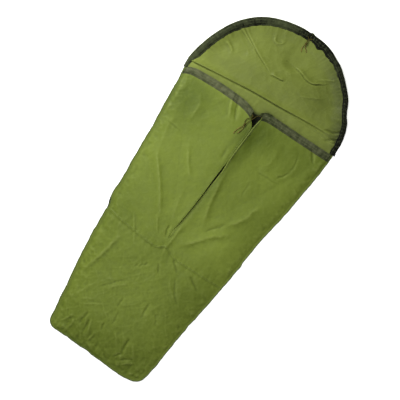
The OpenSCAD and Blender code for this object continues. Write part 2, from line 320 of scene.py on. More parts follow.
@dataclass(frozen=True)
class Fold:
    """One fold of the cloth as it lies, in millimetres on the floor plan."""

    line: Curve
    width: float
    height: float
    form: FoldForm = RIDGE
    rooted: bool = False
    lean: float = 0.0
    ragged: float = 0.35
    REACH: ClassVar[float] = 6.0
    TAPER: ClassVar[float] = 0.35
    STRAY_SIZE: ClassVar[float] = 44.0
    STRAY_WIDTH: ClassVar[float] = 11.0
    TURN_OVER: ClassVar[float] = 4.0

    @staticmethod
    def profile(q: Array) -> Array:
        """Gives the height across a fold: a blunt crest in a shallow trough.

        Args:
            q: Distance off the fold's line, in its widths.

        Returns:
            The height, 0.7 on the line.
        """
        blunt, steep, trough, wide = 0.3, 1.7, 0.3, 2.6
        crest = np.exp(-steep * (np.sqrt(q * q + blunt * blunt) - blunt))
        return crest - trough * np.exp(-(q / wide) ** 2)

    def rise(self, x: Array, y: Array) -> Array:
        """Works out how far the fold lifts the cloth.

        Args:
            x: Places across, as laid.
            y: Places along, as laid.

        Returns:
            The lift at each place, negative in a valley.
        """
        pts = smooth_line(np.array(self.line), 8 * len(self.line))
        reach = self.REACH * self.width
        low, high = pts.min(0) - reach, pts.max(0) + reach
        near = (x > low[0]) & (x < high[0]) & (y > low[1]) & (y < high[1])
        out = np.zeros_like(x)
        px, py = x[near], y[near]
        stray = crumple(px, py, self.STRAY_SIZE, 2, self.height)
        stray = self.ragged * min(self.width, self.STRAY_WIDTH) * stray
        px, py = (px + stray)[:, None], (py - stray)[:, None]
        a, d = pts[:-1], np.diff(pts, axis=0)
        t = np.clip(((px - a[:, 0]) * d[:, 0] + (py - a[:, 1]) * d[:, 1]) / (d ** 2).sum(1), 0, 1)
        off_x, off_y = px - a[:, 0] - t * d[:, 0], py - a[:, 1] - t * d[:, 1]
        gap = np.hypot(off_x, off_y)
        k = gap.argmin(1)
        row = np.arange(len(k))
        along = (k + t[row, k]) / len(a)
        beside = (d[k, 0] * off_y[row, k] - d[k, 1] * off_x[row, k]) / np.linalg.norm(d[k], axis=1)
        side = np.tanh(beside / self.TURN_OVER)
        across = self.profile(gap[row, k] / (self.width * (1 + self.lean * side)))
        start = 1.0 if self.rooted else smooth(along / self.TAPER)
        end = smooth((1 - along) / self.TAPER)
        out[near] = self.form.value * self.height * start * end * across
        return out


@dataclass(frozen=True)
class Fading:
    """One broad place where the cloth is painted lighter or darker than around it, for fading and for light
    and shade.
    """

    x: float
    y: float
    reach_x: float
    reach_y: float
    share: float

    def at(self, x: Array, y: Array) -> Array:
        """Gives how much the patch lightens the cloth at places as laid, negative where it paints shade."""
        return self.share * np.exp(-((x - self.x) / self.reach_x) ** 2 - ((y - self.y) / self.reach_y) ** 2)


def corners_of(node: str) -> tuple[Vector, Vector]:
    """Gives a solid's lowest and highest corners, in millimetres."""
    low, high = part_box(node)
    return low / MM, high / MM


@dataclass(frozen=True)
class Cut:
    """Sizes of the sack in millimetres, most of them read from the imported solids."""

    foot_y: float
    cross_y: float
    slit_y: float
    hem_y: float
    hinge_y: float
    hood_y: float
    apex_y: float
    foot_half: float
    mouth_half: float
    hood_half: float
    loft: float
    edge_top: float
    corner_x: float
    corner_z: float
    foot_corner: float = 45.0
    seam_margin: float = 12.0
    foot_rise: float = 240.0
    crown: float = 3.0
    cloth: float = 1.5
    hood_rise: float = 24.0
    hood_border: float = 105.0
    hood_ramp: float = 160.0
    tape: float = 46.0
    cord: float = 4.0
    cord_exit: float = 16.0

    @classmethod
    def from_frame(cls) -> "Cut":
        """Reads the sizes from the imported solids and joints.

        Returns:
            The sizes, with those that no solid gives left as they are.
        """
        joints = {j["name"]: j for j in frame["joints"]}
        low_front, low_front_top = corners_of("lower_front_panel")
        _, front = corners_of("right_front_panel")
        hood_low, hood = corners_of("hood_panel")
        cross_low, cross_high = corners_of("cross_seam")
        fold = joints["right_flap_fold"]
        slope = (front.x - low_front_top.x) / (front.y - low_front_top.y)
        reach = front.y - fold["pos_m"][1] / MM
        return cls(
            foot_y=low_front.y,
            cross_y=(cross_low.y + cross_high.y) / 2,
            slit_y=fold["pos_m"][1] / MM,
            hem_y=front.y,
            hinge_y=joints["hood_fold"]["pos_m"][1] / MM,
            hood_y=hood_low.y,
            apex_y=hood.y,
            foot_half=front.x - slope * (front.y - low_front.y),
            mouth_half=front.x,
            hood_half=hood.x,
            loft=fold["pos_m"][2] / MM,
            edge_top=low_front.z + cls.cloth,
            corner_x=reach * fold["axis"][0] / fold["axis"][1],
            corner_z=fold["pos_m"][2] / MM + reach * fold["axis"][2] / fold["axis"][1],
        )

    @property
    def fold_run(self) -> float:
        """How far a flap's fold moves outward for each millimetre toward the hood."""
        return self.corner_x / (self.hem_y - self.slit_y)

    @property
    def flap_slope(self) -> float:
        """How far a flap falls for each millimetre outward."""
        return (self.loft - self.corner_z) / self.corner_x

    @property
    def hood_depth(self) -> float:
        """How far the hood reaches from its straight side to its top."""
        return self.apex_y - self.hood_y

    def hood_ring(self, x: Array, up: Array) -> Array:
        """Tells how far out on the hood places are: 0 at its middle and 1 on its edge."""
        return np.hypot(x / self.hood_half, up / self.hood_depth)

    def side_half(self, y: Array) -> Array:
        """Half of the width between the side seams."""
        share = (y - self.foot_y) / (self.hem_y - self.foot_y)
        return self.foot_half + (self.mouth_half - self.foot_half) * share

    def half(self, y: Array) -> Array:
        """Half of the width with the foot corners rounded.

        Args:
            y: Places along the cut.

        Returns:
            The half width at each place.
        """
        r = self.foot_corner
        down = np.clip(self.foot_y + r - np.asarray(y, float), 0, r)
        return self.side_half(np.maximum(y, self.foot_y + r)) - r + np.sqrt(r * r - down * down)


@dataclass
class Lie:
    """How the cloth lies on the floor: outline, skew, leaning slit, folds and puckers."""

    cut: Cut
    skew: float = 35.0
    hood_bow: float = 20.0
    puff: float = 17.0
    hood_slack: float = 2.2
    lowest: float = 2.4
    foot_drawn: float = 3.0
    foot_zone: float = 130.0
    edge_zone: float = 40.0
    lean_reach: float = 240.0
    sag_reach: float = 100.0
    seam_reach: float = 34.0
    groove: float = 0.9
    edge_reach: float = 26.0
    gathered: float = 7.0
    side_ripple: Bumps = Bumps(3.0, 55, 4.4)
    foot_ripple: Bumps = Bumps(3.4, 44, 1.3)
    rim_ripple: Bumps = Bumps(0.5, 64, 6.1, (420.0, 0.0))
    rim_gather: Bumps = Bumps(1.6, 26, 2.2, (400.0, 60.0))
    seam_pucker: Bumps = Bumps(2.6, 30, 3.1, (1.0, 0.4))
    seam_groove: Bumps = Bumps(0.7, 120, 2.4, (1.0, 0.0), 1)
    edge_pucker: Bumps = Bumps(3.4, 42, 8.4)
    foot_gathers: tuple[tuple[Bumps, float], ...] = (
        (Bumps(1.0, 34, 5.5, (1.0, 0.3)), 56.0), (Bumps(0.8, 46, 2.2, (0.8, 1.0)), 90.0))
    front_swells: tuple[Bumps, ...] = (Bumps(5.0, 230, 1.7), Bumps(0.9, 62, 6.2, (1.4, 1.0)))
    front_creases: tuple[Creases | Bumps, ...] = (
        Creases(0.8, 70, 38, 2.6), Creases(0.7, 52, -42, 7.9), Creases(0.6, 30, 10, 5.2),
        Bumps(0.9, 64, 6.6, octaves=3))
    hood_swell: Bumps = Bumps(3.4, 170, 9.3)
    hood_creases: tuple[Creases, ...] = (Creases(0.8, 80, 50, 3.3), Creases(0.6, 50, -30, 8.1))
    under_mouth_cord: EvenPlace = EvenPlace(-18, 445, 34, 125, 0.12)
    under_hood_cord: EvenPlace = EvenPlace(4, 985, 0, 65, 0.1, margin=26)
    left_bulge: Curve = (
        (-1100, 14), (-1030, 6), (-959, 12), (-831, 18), (-619, 28), (-477, 29), (-360, 27), (-330, 33),
        (-293, 38), (-194, 29), (-52, 24), (161, 18), (303, 19), (473, 14), (577, 14), (640, 12),
        (760, 6), (1110, 0))
    right_bulge: Curve = (
        (-1100, 10), (-1058, 10), (-973, 15), (-831, 9), (-690, 8), (-576, 10), (-406, 14), (-264, 13),
        (-123, 6), (19, 6), (161, 14), (303, 12), (473, 12), (577, 5), (640, 0), (1110, 0))
    foot_wave: Curve = (
        (-340, 10), (-290, 6), (-240, 1), (-200, 1), (-130, 0), (-85, 0), (-55, 3), (0, -3), (80, -5),
        (150, -7), (220, -5), (280, 9), (340, 22))
    hood_edge: Curve = (
        (-10, 0), (0, 0), (10, -6), (23, -25), (37, -16), (50, -8), (59, 0), (67, 3), (76, 9), (85, 6),
        (88, 6), (90, 10), (92, 5), (96, 6), (111, 8), (119, 11), (127, 13), (143, 11), (157, 6),
        (170, 6), (180, 6), (190, 6))
    hem_wave: Curve = (
        (-500, -52), (-472, -30), (-440, -12), (-390, -2), (-250, 6), (-130, 3), (-90, -2), (-55, -11),
        (-25, -23), (0, -20), (20, -8), (45, 7), (100, 14), (300, 18), (440, 22), (500, 24))
    seam_wave: Curve = (
        (-500, 42), (-410, 34), (-300, 17), (-150, 4), (-60, 1), (-30, 6), (8, 31), (38, 22), (72, 5),
        (110, 3), (200, 6), (340, 11), (420, 14), (500, 15))
    slit_lean: Curve = (
        (-520, 0), (-400, -9), (-329, -20), (-270, -22), (-200, -14), (-60, -1), (60, 5), (180, 12),
        (280, 11), (380, 15), (440, 18), (480, 18), (510, 14), (545, 4), (577, 1), (700, 0))
    slit_open: Curve = (
        (-340, 0.4), (-300, 0.8), (-200, 1.2), (-120, 1.5), (-60, 1.8), (20, 2.4), (70, 3.6),
        (110, 5.0), (150, 5.4), (190, 4.6), (215, 2.4), (260, 1.3), (440, 1.3), (480, 2.2), (505, 9),
        (525, 18), (545, 26), (577, 31), (600, 31))
    folds: tuple[Fold, ...] = (
        Fold(((-366, 120), (-340, 45), (-280, -30), (-215, -110), (-150, -205), (-80, -318)),
             32, 9, lean=-0.3),
        Fold(((-150, -225), (-118, -275), (-80, -332)), 13, 4, lean=-0.3),
        Fold(((-238, 208), (-170, 105), (-96, 16)), 28, 7, lean=-0.3),
        Fold(((-172, 566), (-152, 505), (-115, 425)), 16, 7, rooted=True),
        Fold(((-136, 560), (-112, 500), (-80, 436)), 13, 8, VALLEY, True),
        Fold(((-44, 380), (-38, 300), (-26, 200)), 14, 3.5, VALLEY),
        Fold(((-56, -235), (-50, -275), (-34, -322)), 9, 8, VALLEY),
        Fold(((-115, 0), (-92, -100), (-58, -235)), 24, 3, lean=-0.3),
        Fold(((-266, -292), (-234, -340), (-200, -388), (-152, -462)), 13, 3.4, lean=-0.3),
        Fold(((-398, 300), (-376, 180), (-352, 80)), 24, 4),
        Fold(((-330, 480), (-300, 380), (-310, 280)), 30, 5),
        Fold(((40, -328), (88, -272), (140, -212), (225, -122), (290, -85)), 27, 7, lean=0.2),
        Fold(((318, 170), (272, 20), (205, -82)), 27, 8),
        Fold(((112, -182), (165, -115), (216, -50)), 16, 4, VALLEY),
        Fold(((34, 250), (44, 110), (60, 5), (84, -92), (114, -195)), 30, 8.5, lean=-0.2),
        Fold(((21, 512), (15, 380), (20, 200)), 22, 13, rooted=True, lean=0.6),
        Fold(((318, 505), (336, 432), (330, 375)), 6, 2.6, VALLEY, ragged=0.9),
        Fold(((338, 392), (318, 350), (286, 306)), 7, 4, VALLEY, ragged=0.7),
        Fold(((165, 284), (250, 288), (345, 293)), 6, 1.8, VALLEY, ragged=0.9),
        Fold(((180, 225), (183, 170), (188, 105)), 8, 1.8, VALLEY, ragged=0.8),
        Fold(((-428, 240), (-360, 232), (-292, 226)), 6, 1.8, VALLEY, ragged=0.9),
        Fold(((6, -195), (4, -270), (-2, -388)), 13, 4.5),
        Fold(((365, 572), (388, 535), (420, 492)), 11, 7, VALLEY),
        Fold(((200, 470), (215, 380), (190, 300)), 30, 4),
        Fold(((-246, -425), (-264, -500), (-278, -580), (-302, -665), (-328, -800)), 24, 8, lean=-0.3),
        Fold(((-72, -618), (-135, -692), (-204, -772)), 16, 3.0, VALLEY),
        Fold(((-50, -625), (-108, -695), (-160, -752)), 18, 1.4),
        Fold(((100, -658), (103, -715), (110, -782)), 10, 4, VALLEY),
        Fold(((156, -690), (178, -725), (208, -772)), 14, 3, VALLEY),
        Fold(((132, -462), (162, -510), (192, -555), (254, -612)), 12, 3.6, VALLEY),
        Fold(((112, -480), (140, -528), (175, -575)), 14, 1.6),
        Fold(((60, -388), (98, -416), (142, -452)), 12, 4, VALLEY),
        Fold(((192, -408), (240, -440), (304, -474)), 14, 3.4, VALLEY),
        Fold(((8, -450), (30, -480), (54, -515)), 10, 3.5, VALLEY),
        Fold(((-88, -548), (-80, -518)), 7, 3.5, VALLEY),
        Fold(((-66, -538), (-54, -500)), 7, 3.5, VALLEY),
        Fold(((-46, -518), (-36, -482)), 7, 3.0, VALLEY),
        Fold(((-6, -335), (14, -430), (20, -540)), 16, 1.5),
        Fold(((120, -890), (122, -940), (134, -1010)), 12, 7.5, VALLEY),
        Fold(((-160, -895), (-158, -940), (-172, -1010)), 11, 5, VALLEY),
        Fold(((-150, -905), (-140, -955), (-108, -1020)), 11, 4),
        Fold(((-128, -920), (-121, -975), (-116, -1050)), 9, 4.5, VALLEY),
        Fold(((-118, -920), (-104, -970), (-82, -1030)), 10, 3.5),
        Fold(((-48, -895), (-44, -925), (-36, -960)), 8, 4, VALLEY),
        Fold(((22, -895), (60, -945), (104, -1005)), 14, 3.6),
        Fold(((146, -900), (176, -945), (226, -1005)), 18, 4.6),
        Fold(((146, -1056), (192, -1024), (244, -982)), 12, 3.6),
        Fold(((134, -1040), (172, -1010), (214, -980)), 9, 3.6, VALLEY),
        Fold(((100, -1040), (122, -1010), (142, -984)), 8, 4.4, VALLEY),
        Fold(((-280, -868), (-252, -810), (-206, -728)), 14, 3),
        Fold(((-246, -872), (-200, -842), (-148, -808)), 11, 1.7),
        Fold(((-222, -890), (-165, -856), (-104, -822)), 11, 1.7),
        Fold(((-40, -705), (-39, -760), (-34, -815)), 9, 2.5, VALLEY),
        Fold(((-14, -800), (-10, -850), (-8, -905)), 9, 2.5, VALLEY),
        Fold(((-258, -1042), (-236, -1000), (-222, -965)), 12, 4),
        Fold(((-205, -1046), (-198, -1010), (-205, -975)), 10, 4),
        Fold(((-72, -1050), (-62, -1015), (-66, -980)), 9, 4),
    )
    hood_folds: tuple[Fold, ...] = (
        Fold(((-352, 908), (-270, 873), (-200, 845), (-100, 800), (-62, 784)), 13, 4, rooted=True, lean=0.75),
        Fold(((-75, 783), (-40, 786), (-5, 793), (25, 800)), 12, 11, lean=0.75),
        Fold(((-60, 905), (20, 899), (75, 889), (125, 871), (165, 876), (205, 905), (258, 945)),
             13, 12, lean=0.75),
        Fold(((-352, 925), (-272, 880), (-220, 852), (-145, 814), (-70, 783)), 4.6, 5, VALLEY, True),
        Fold(((-80, 775), (-40, 777), (-5, 784), (25, 790)), 3.6, 3.5, VALLEY),
        Fold(((-34, 899), (30, 892), (80, 881), (128, 864), (170, 872), (206, 896)), 4.2, 4, VALLEY, True),
        Fold(((-470, 589), (-300, 613), (-90, 639), (100, 655), (300, 675), (430, 685)),
             4, 4, VALLEY, ragged=0),
        Fold(((-170, 994), (-154, 956), (-118, 957), (-104, 1000)), 9, 5),
        Fold(((-392, 800), (-345, 785), (-308, 756)), 11, 6),
        Fold(((270, 844), (205, 808), (136, 766)), 13, 4),
        Fold(((265, 965), (215, 935), (175, 915)), 10, 4),
        Fold(((-470, 598), (-300, 622), (-90, 648), (100, 664), (300, 684), (430, 694)),
             14, 14, rooted=True, lean=0.75, ragged=0),
        Fold(((448, 735), (405, 712), (350, 690)), 9, 7, VALLEY, True),
        Fold(((462, 690), (425, 672), (390, 640)), 8, 7, VALLEY, True),
    )
    # Broad patches of real fading and of painted light and shade: negative ones paint shade, such as beside
    # the slit and along the foot edge, and positive ones paint light, such as on the hood's left.
    fading: tuple[Fading, ...] = (
        Fading(-390, 390, 170, 210, -0.34), Fading(-310, -330, 130, 180, -0.20),
        Fading(240, 490, 260, 110, -0.14), Fading(52, 440, 62, 130, -0.46),
        Fading(120, 470, 90, 100, -0.14), Fading(250, -240, 140, 140, 0.22),
        Fading(0, -1010, 330, 90, -0.10), Fading(-10, -700, 170, 200, 0.06),
        Fading(-70, -1094, 230, 17, -0.45), Fading(270, -520, 110, 220, -0.06),
        Fading(-400, 622, 170, 50, 0.20), Fading(330, 850, 190, 150, -0.17),
        Fading(240, 655, 170, 60, 0.12), Fading(490, 760, 60, 260, -0.44),
        Fading(54, 594, 36, 10, -0.25), Fading(24, 60, 24, 130, -0.24), Fading(8, -90, 20, 90, -0.24),
        Fading(44, 255, 36, 100, -0.26), Fading(-16, 425, 26, 62, -0.26),
        Fading(-31, 330, 12, 70, -0.18), Fading(-300, 556, 180, 30, 0.30),
        Fading(-470, 760, 46, 200, 0.28), Fading(-330, 990, 110, 70, 0.18))

    def faded(self, x: Array, y: Array) -> Array:
        """Tells how faded the cloth is at places as laid, with painted light and shade, 0 to 1."""
        return np.clip(0.5 + sum(patch.at(x, y) for patch in self.fading), 0, 1)

    def _outline(self, x: Array, y: Array) -> Array:
        """Moves places outward where the sides bulge, with small waves near the edge.

        Args:
            x: Places across the cut.
            y: Places along the cut.

        Returns:
            The places across, as laid.
        """
        share = np.clip(np.abs(x) / self.cut.side_half(y), 0, 1.05)
        bulge = np.where(x < 0, eased(y, self.left_bulge), eased(y, self.right_bulge))
        side_apart = 40 * np.sign(x)
        wave = self.side_ripple.at(side_apart, y) * falling(y, end=self.cut.hem_y, over=60)
        return x + np.sign(x) * (bulge + wave) * share ** 2

    def _foot(self, x: Array, y: Array) -> Array:
        """Tells how far the foot edge is drawn in, with its small puckers.

        Args:
            x: Places across the cut.
            y: Places along the cut.

        Returns:
            The way up at each place, which dies out above the foot.
        """
        drawn = eased(x, self.foot_wave) + self.foot_drawn + self.foot_ripple.at(x, x * 0)
        return drawn * falling(y, end=self.cut.foot_y + self.foot_zone, over=self.foot_zone)

    def front_plan(self, x: Array, y: Array) -> tuple[Array, Array]:
        """Moves places on the front's cut to where they lie on the floor.

        Args:
            x: Places across the cut.
            y: Places along the cut.

        Returns:
            The places across and along, as laid.
        """
        cut = self.cut
        lean = eased(y, self.slit_lean) * smooth(1 - np.abs(x) / self.lean_reach)
        hem = eased(x, self.hem_wave) * rising(y, start=330, over=cut.hem_y - 360)
        sag = eased(x, self.seam_wave) * hump(y, cut.cross_y, self.sag_reach)
        return self._outline(x, y) + lean, y + hem + self._foot(x, y) + sag

    def hood_plan(self, x: Array, y: Array) -> tuple[Array, Array]:
        """Moves places on the base's and the hood's cut to where they lie on the floor.

        Args:
            x: Places across the cut.
            y: Places along the cut.

        Returns:
            The places across and along, as laid.
        """
        cut = self.cut
        grip = rising(y, start=-150, over=690) * falling(y, end=cut.apex_y - 30, over=420)
        bow_half = 470
        bow = self.hood_bow * np.clip(1 - (x / bow_half) ** 2, 0, 1)
        bow = bow * rising(y, start=cut.hem_y + 4, over=50) * falling(y, end=1010, over=350)
        up = np.maximum(0, y - cut.hood_y)
        ring, angle = cut.hood_ring(x, up), np.arctan2(up, x)
        pulled, pulled_right, even = 3.6, 2.0, 0.6
        drawn = (pulled + pulled_right * np.cos(angle)) * (even + self.rim_ripple.at(angle, angle))
        drawn = np.maximum(drawn, 0) * rising(ring, start=0.78, over=0.22)
        drawn = drawn - eased(np.degrees(angle), self.hood_edge) * rising(ring, start=0.4, over=0.6)
        drawn = drawn * rising(y, start=cut.hem_y, over=60)
        px = self._outline(x, y)
        py = y + self.skew * x / cut.hood_half * grip + bow + self._foot(x, y)
        return px - drawn * np.cos(angle), py - drawn * np.sin(angle)

    def front_lift(self, x: Array, y: Array) -> Array:
        """Height of the front without its folds, from the same curves as the solids.

        Args:
            x: Places across the cut.
            y: Places along the cut.

        Returns:
            The height at each place.
        """
        cut = self.cut
        s, ax = y - cut.foot_y, np.abs(x)
        climb = np.sin(np.pi / 2 * np.clip((s - cut.seam_margin) / cut.foot_rise, 0, 1))
        fold = np.maximum(0, y - cut.slit_y) * cut.fold_run
        beside = cut.loft - cut.flap_slope * fold - cut.edge_top
        top = np.where(fold > 0, beside, (cut.loft - cut.edge_top) * climb)
        outer = cut.half(y) - cut.seam_margin
        c = np.clip((ax - fold) / np.maximum(outer - fold, 1), 0, 1)
        arch = cut.edge_top + top * (1 - c ** cut.crown)
        return np.where(ax < fold, cut.loft - cut.flap_slope * ax, arch)

    def _puckers(self, x: Array, y: Array, edge: Array) -> Array:
        """Puckers the front along the cross seam and inside the bound edges.

        Args:
            x: Places across the cut.
            y: Places along the cut.
            edge: How far the places are from the edge.

        Returns:
            The lift at each place.
        """
        off = y - self.cut.cross_y
        pucker = self.seam_pucker.at(x, y) * np.exp(-np.abs(off) / self.seam_reach)
        pucker -= self.groove * hump(off, middle=-11, reach=5) * (0.7 + self.seam_groove.at(x, y))
        return pucker + self.edge_pucker.at(x, y) * np.exp(-np.abs(edge - self.edge_reach) / self.edge_reach)

    def _lip(self, x: Array, y: Array) -> Array:
        """Lifts and sinks the cloth beside the slit, where one flap laps over the other.

        Args:
            x: Places across the cut.
            y: Places along the cut.

        Returns:
            The lift at each place.
        """
        cut = self.cut
        slit = hump(x, middle=0, reach=17) * rising(y, start=cut.slit_y, over=160)
        slit = slit * falling(y, end=cut.hem_y - 40, over=90)
        lapped = rising(y, start=-300, over=120) * falling(y, end=200, over=120)
        raised, sunk, tucked = 6.0, 2.0, 5.0
        right = raised * rising(y, start=60, over=200) - sunk - tucked * lapped
        lifted, low = 6.5, 3.5
        return np.where(x > 0, right, lifted * lapped - low) * slit

    def front(self, x: Array, y: Array) -> Array:
        """Places points of the front's outer face.

        Args:
            x: Places across the cut.
            y: Places along the cut.

        Returns:
            Points in space, in millimetres.
        """
        cut = self.cut
        px, py = self.front_plan(x, y)
        lift = sum((f.rise(px, py) for f in self.folds), np.zeros_like(px))
        edge = np.minimum(cut.half(y) - np.abs(x), y - cut.foot_y)
        soft = sum(layer.at(x, y) for layer in self.front_swells)
        gather = sum(layer.at(x, y) * np.exp(-(y - cut.foot_y) / reach) for layer, reach in self.foot_gathers)
        least, more = 0.36, 0.56
        worked = least + more * falling(y, end=-360, over=260)
        creases = sum(layer.at(x, y) for layer in self.front_creases)
        rise = lift + soft + self._puckers(x, y, edge) + self.gathered * gather + worked * creases
        rise = rise * smooth(edge / self.edge_zone) * self.under_mouth_cord.at(px, py) + self._lip(x, y)
        return np.stack([px, py, np.maximum(self.front_lift(x, y) + rise, self.lowest)], axis=-1)

    def hood(self, x: Array, y: Array) -> Array:
        """Places points of the hood's inner face.

        Args:
            x: Places across the cut.
            y: Places along the cut.

        Returns:
            Points in space, in millimetres.
        """
        cut = self.cut
        px, py = self.hood_plan(x, y)
        up = np.maximum(0, y - cut.hood_y)
        ring, angle = cut.hood_ring(x, up), np.arctan2(up, x)
        bowl = cut.hood_rise * smooth((ring - 1) * cut.hood_depth / cut.hood_border + 1)
        bowl = bowl * smooth(up / cut.hood_ramp)
        lift = sum((f.rise(px, py) for f in self.hood_folds), np.zeros_like(px))
        gather = self.rim_gather.at(angle, ring) * hump(ring, middle=0.87, reach=0.08)
        soft = self.hood_swell.at(x, y) + self.hood_slack
        creases = sum(layer.at(x, y) for layer in self.hood_creases)
        puffed = self.puff * falling(np.hypot(px / 420, (py - 770) / 170), end=1.15, over=1)
        rise = lift + soft + creases + puffed + gather * rising(up, start=0, over=120)
        rise = rise * falling(ring, end=1.03, over=0.12) * self.under_hood_cord.at(px, py)
        return np.stack([px, py, np.maximum(cut.cloth + bowl + rise, cut.cloth)], axis=-1)


@dataclass(frozen=True)
class Carried:
    """The CAD body that carries a piece, or the two that it bends between, in millimetres."""

    body: str
    bends_to: str = ""
    start: Spot = (0, 0, 0)
    end: Spot = (0, 0, 0)

    def hold(self, piece: Object) -> None:
        """Hands a finished piece to its body; a piece that bends between two bodies is only baked in place.

        Args:
            piece: The piece, with its final mesh.
        """
        if self.bends_to:
            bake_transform(piece)
        else:
            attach(piece, self.body)


def flap_carry(cut: Cut, side: Side) -> Carried:
    """Tells how a flap's cloth bends away from the sack along its diagonal fold.

    Args:
        cut: The sack's sizes.
        side: The flap's side.

    Returns:
        The two bodies, with the places that the bend starts and ends at.
    """
    before, after = 4, 60
    n = Vector((-side.value, cut.fold_run, 0)).normalized()
    foot = Vector((0, cut.slit_y, 0))
    return Carried("sack", f"{side.word}_flap", tuple(foot - n * before), tuple(foot + n * after))


def hood_carry(cut: Cut) -> Carried:
    """Tells how the hood's cloth bends up from the sack, over 80 mm past its hinge."""
    return Carried("sack", "hood", (0, cut.hinge_y, 0), (0, cut.hinge_y + 80, 0))


def grid_faces(rows: int, cols: int, first: int, turned: bool) -> Array:
    """Numbers the corners of a grid's faces.

    Args:
        rows: How many rows of points there are.
        cols: How many points a row has.
        first: The number of the first point.
        turned: True where the faces look down.

    Returns:
        Four corner numbers a face.
    """
    a = (first + np.arange(rows - 1)[:, None] * cols + np.arange(cols - 1)).ravel()
    quad = np.stack([a, a + 1, a + cols + 1, a + cols], axis=1)
    return quad[:, ::-1] if turned else quad


def mark(piece: Object, name: str, values: Array) -> None:
    """Writes a value at each point of a mesh, for its material to read."""
    layer = piece.data.attributes.new(name, "FLOAT", "POINT")
    layer.data.foreach_set("value", values.astype(np.float32))


def upward(heights: Array) -> Array:
    """Turns heights into moves straight up."""
    return np.stack([heights * 0, heights * 0, heights], axis=-1)


def mesh_object(name: str, points: Array, faces: Array, parts: Array, uv: Array) -> Object:
    """Makes a smooth mesh whose parts meet in sharp edges.

    Args:
        name: The piece's name.
        points: Corners in millimetres, one a row.
        faces: Four corner numbers a face.
        parts: The part of each face, which also picks its material slot.
        uv: Flat coordinates of each corner, in metres.

    Returns:
        The new object, in the scene.
    """
    mesh = bpy.data.meshes.new(name)
    mesh.from_pydata(points * MM, [], faces.tolist())
    mesh.polygons.foreach_set("use_smooth", np.ones(len(faces), bool))
    mesh.polygons.foreach_set("material_index", np.minimum(parts, 1).astype(np.int32))
    loops = np.zeros(len(mesh.loops), np.int32)
    edges = np.zeros(len(mesh.loops), np.int32)
    mesh.loops.foreach_get("vertex_index", loops)
    mesh.loops.foreach_get("edge_index", edges)
    flat = uv[loops].astype(np.float32).ravel()
    mesh.uv_layers.new(name="flat_cut").data.foreach_set("uv", flat)
    part = np.repeat(parts, 4)
    low, high = np.full(len(mesh.edges), parts.max()), np.full(len(mesh.edges), parts.min())
    np.minimum.at(low, edges, part)
    np.maximum.at(high, edges, part)
    sharp = mesh.attributes.new("sharp_edge", "BOOLEAN", "EDGE")
    sharp.data.foreach_set("value", low != high)
    piece = bpy.data.objects.new(name, mesh)
    bpy.context.scene.collection.objects.link(piece)
    return piece


def shell(name: str, outer: Array, inner: Array, flat: Array) -> Object:
    """Makes a thin closed piece between two grids of points.

    Args:
        name: The piece's name.
        outer: The upper face, rows by columns by three, in millimetres.
        inner: The lower face, in the same order.
        flat: Flat coordinates of each place, in millimetres.

    Returns:
        The new object, with its upper face in slot 0 and its lower face in slot 1.
    """
    rows, cols = outer.shape[:2]
    count = rows * cols
    index = np.arange(count).reshape(rows, cols)
    rim = np.concatenate([index[0, :-1], index[:-1, -1], index[-1, :0:-1], index[:0:-1, 0]])
    after = np.roll(rim, -1)
    sides = np.stack([rim, rim + count, after + count, after], axis=1)
    grids = [grid_faces(rows, cols, 0, False), grid_faces(rows, cols, count, True)]
    faces = np.concatenate([*grids, sides])
    parts = np.repeat([0, 1, 2], [(rows - 1) * (cols - 1)] * 2 + [len(sides)])
    points = np.concatenate([outer.reshape(-1, 3), inner.reshape(-1, 3)])
    piece = mesh_object(name, points, faces, parts, np.tile(flat.reshape(-1, 2) * MM, (2, 1)))
    step, high = 2, outer[..., 2]
    around = [np.roll(high, k, axis) for k in (step, -step) for axis in (0, 1)]
    worn = high - np.mean(around, axis=0)
    worn[:step], worn[-step:], worn[:, :step], worn[:, -step:] = 0, 0, 0, 0
    mark(piece, "wear", np.tile(np.clip(worn, -1, 1).ravel(), 2))
    return piece


def tube(name: str, line: Array, radius: float | Array, sides: int, squash: float = 1.0,
         worn: float = 0.0) -> Object:
    """Makes a round or flattened tube along a line.

    Args:
        name: The piece's name.
        line: Points of its middle, in millimetres.
        radius: Its radius, one number or one a point.
        sides: How many faces go round it.
        squash: Height over width.
        worn: How far its top is rubbed, 0 to 1.

    Returns:
        The new object, with closed ends and flat coordinates round and along it.
    """
    _, across, up = frames_along(line)
    turn = np.linspace(0, 2 * np.pi, sides + 1)
    r = np.broadcast_to(radius, len(line))[:, None, None]
    ring = line[:, None] + r * circles(across, up, turn, squash)
    length = run_along(line)
    u, v = np.meshgrid(turn / (2 * np.pi), length * MM)
    n = len(line)
    index = np.arange(n * sides).reshape(n, sides)
    beside = np.roll(index, -1, 1)
    wall = np.stack([index[:-1], index[1:], beside[1:], beside[:-1]], -1).reshape(-1, 4)
    ends = ((n * sides, index[0]), (n * sides + 1, index[-1][::-1]))
    caps = np.array([[middle, *np.take(end, (k, k - 1, k - 2), mode="wrap")]
                     for middle, end in ends for k in range(2, sides + 1, 2)])
    points = np.concatenate([ring[:, :-1].reshape(-1, 3), line[[0, -1]]])
    uv = np.stack([u[:, :-1], v[:, :-1]], -1).reshape(-1, 2)
    uv = np.concatenate([uv, [[0, 0], [0, length[-1] * MM]]])
    parts = np.repeat([0, 2], [len(wall), len(caps)])
    piece = mesh_object(name, points, np.concatenate([wall, caps]), parts, uv)
    top = np.tile(worn * np.maximum(np.sin(turn[:-1]), 0), n)
    mark(piece, "wear", np.concatenate([top, [0, 0]]))
    return piece


Sockets = dict[str, NodeSocket]


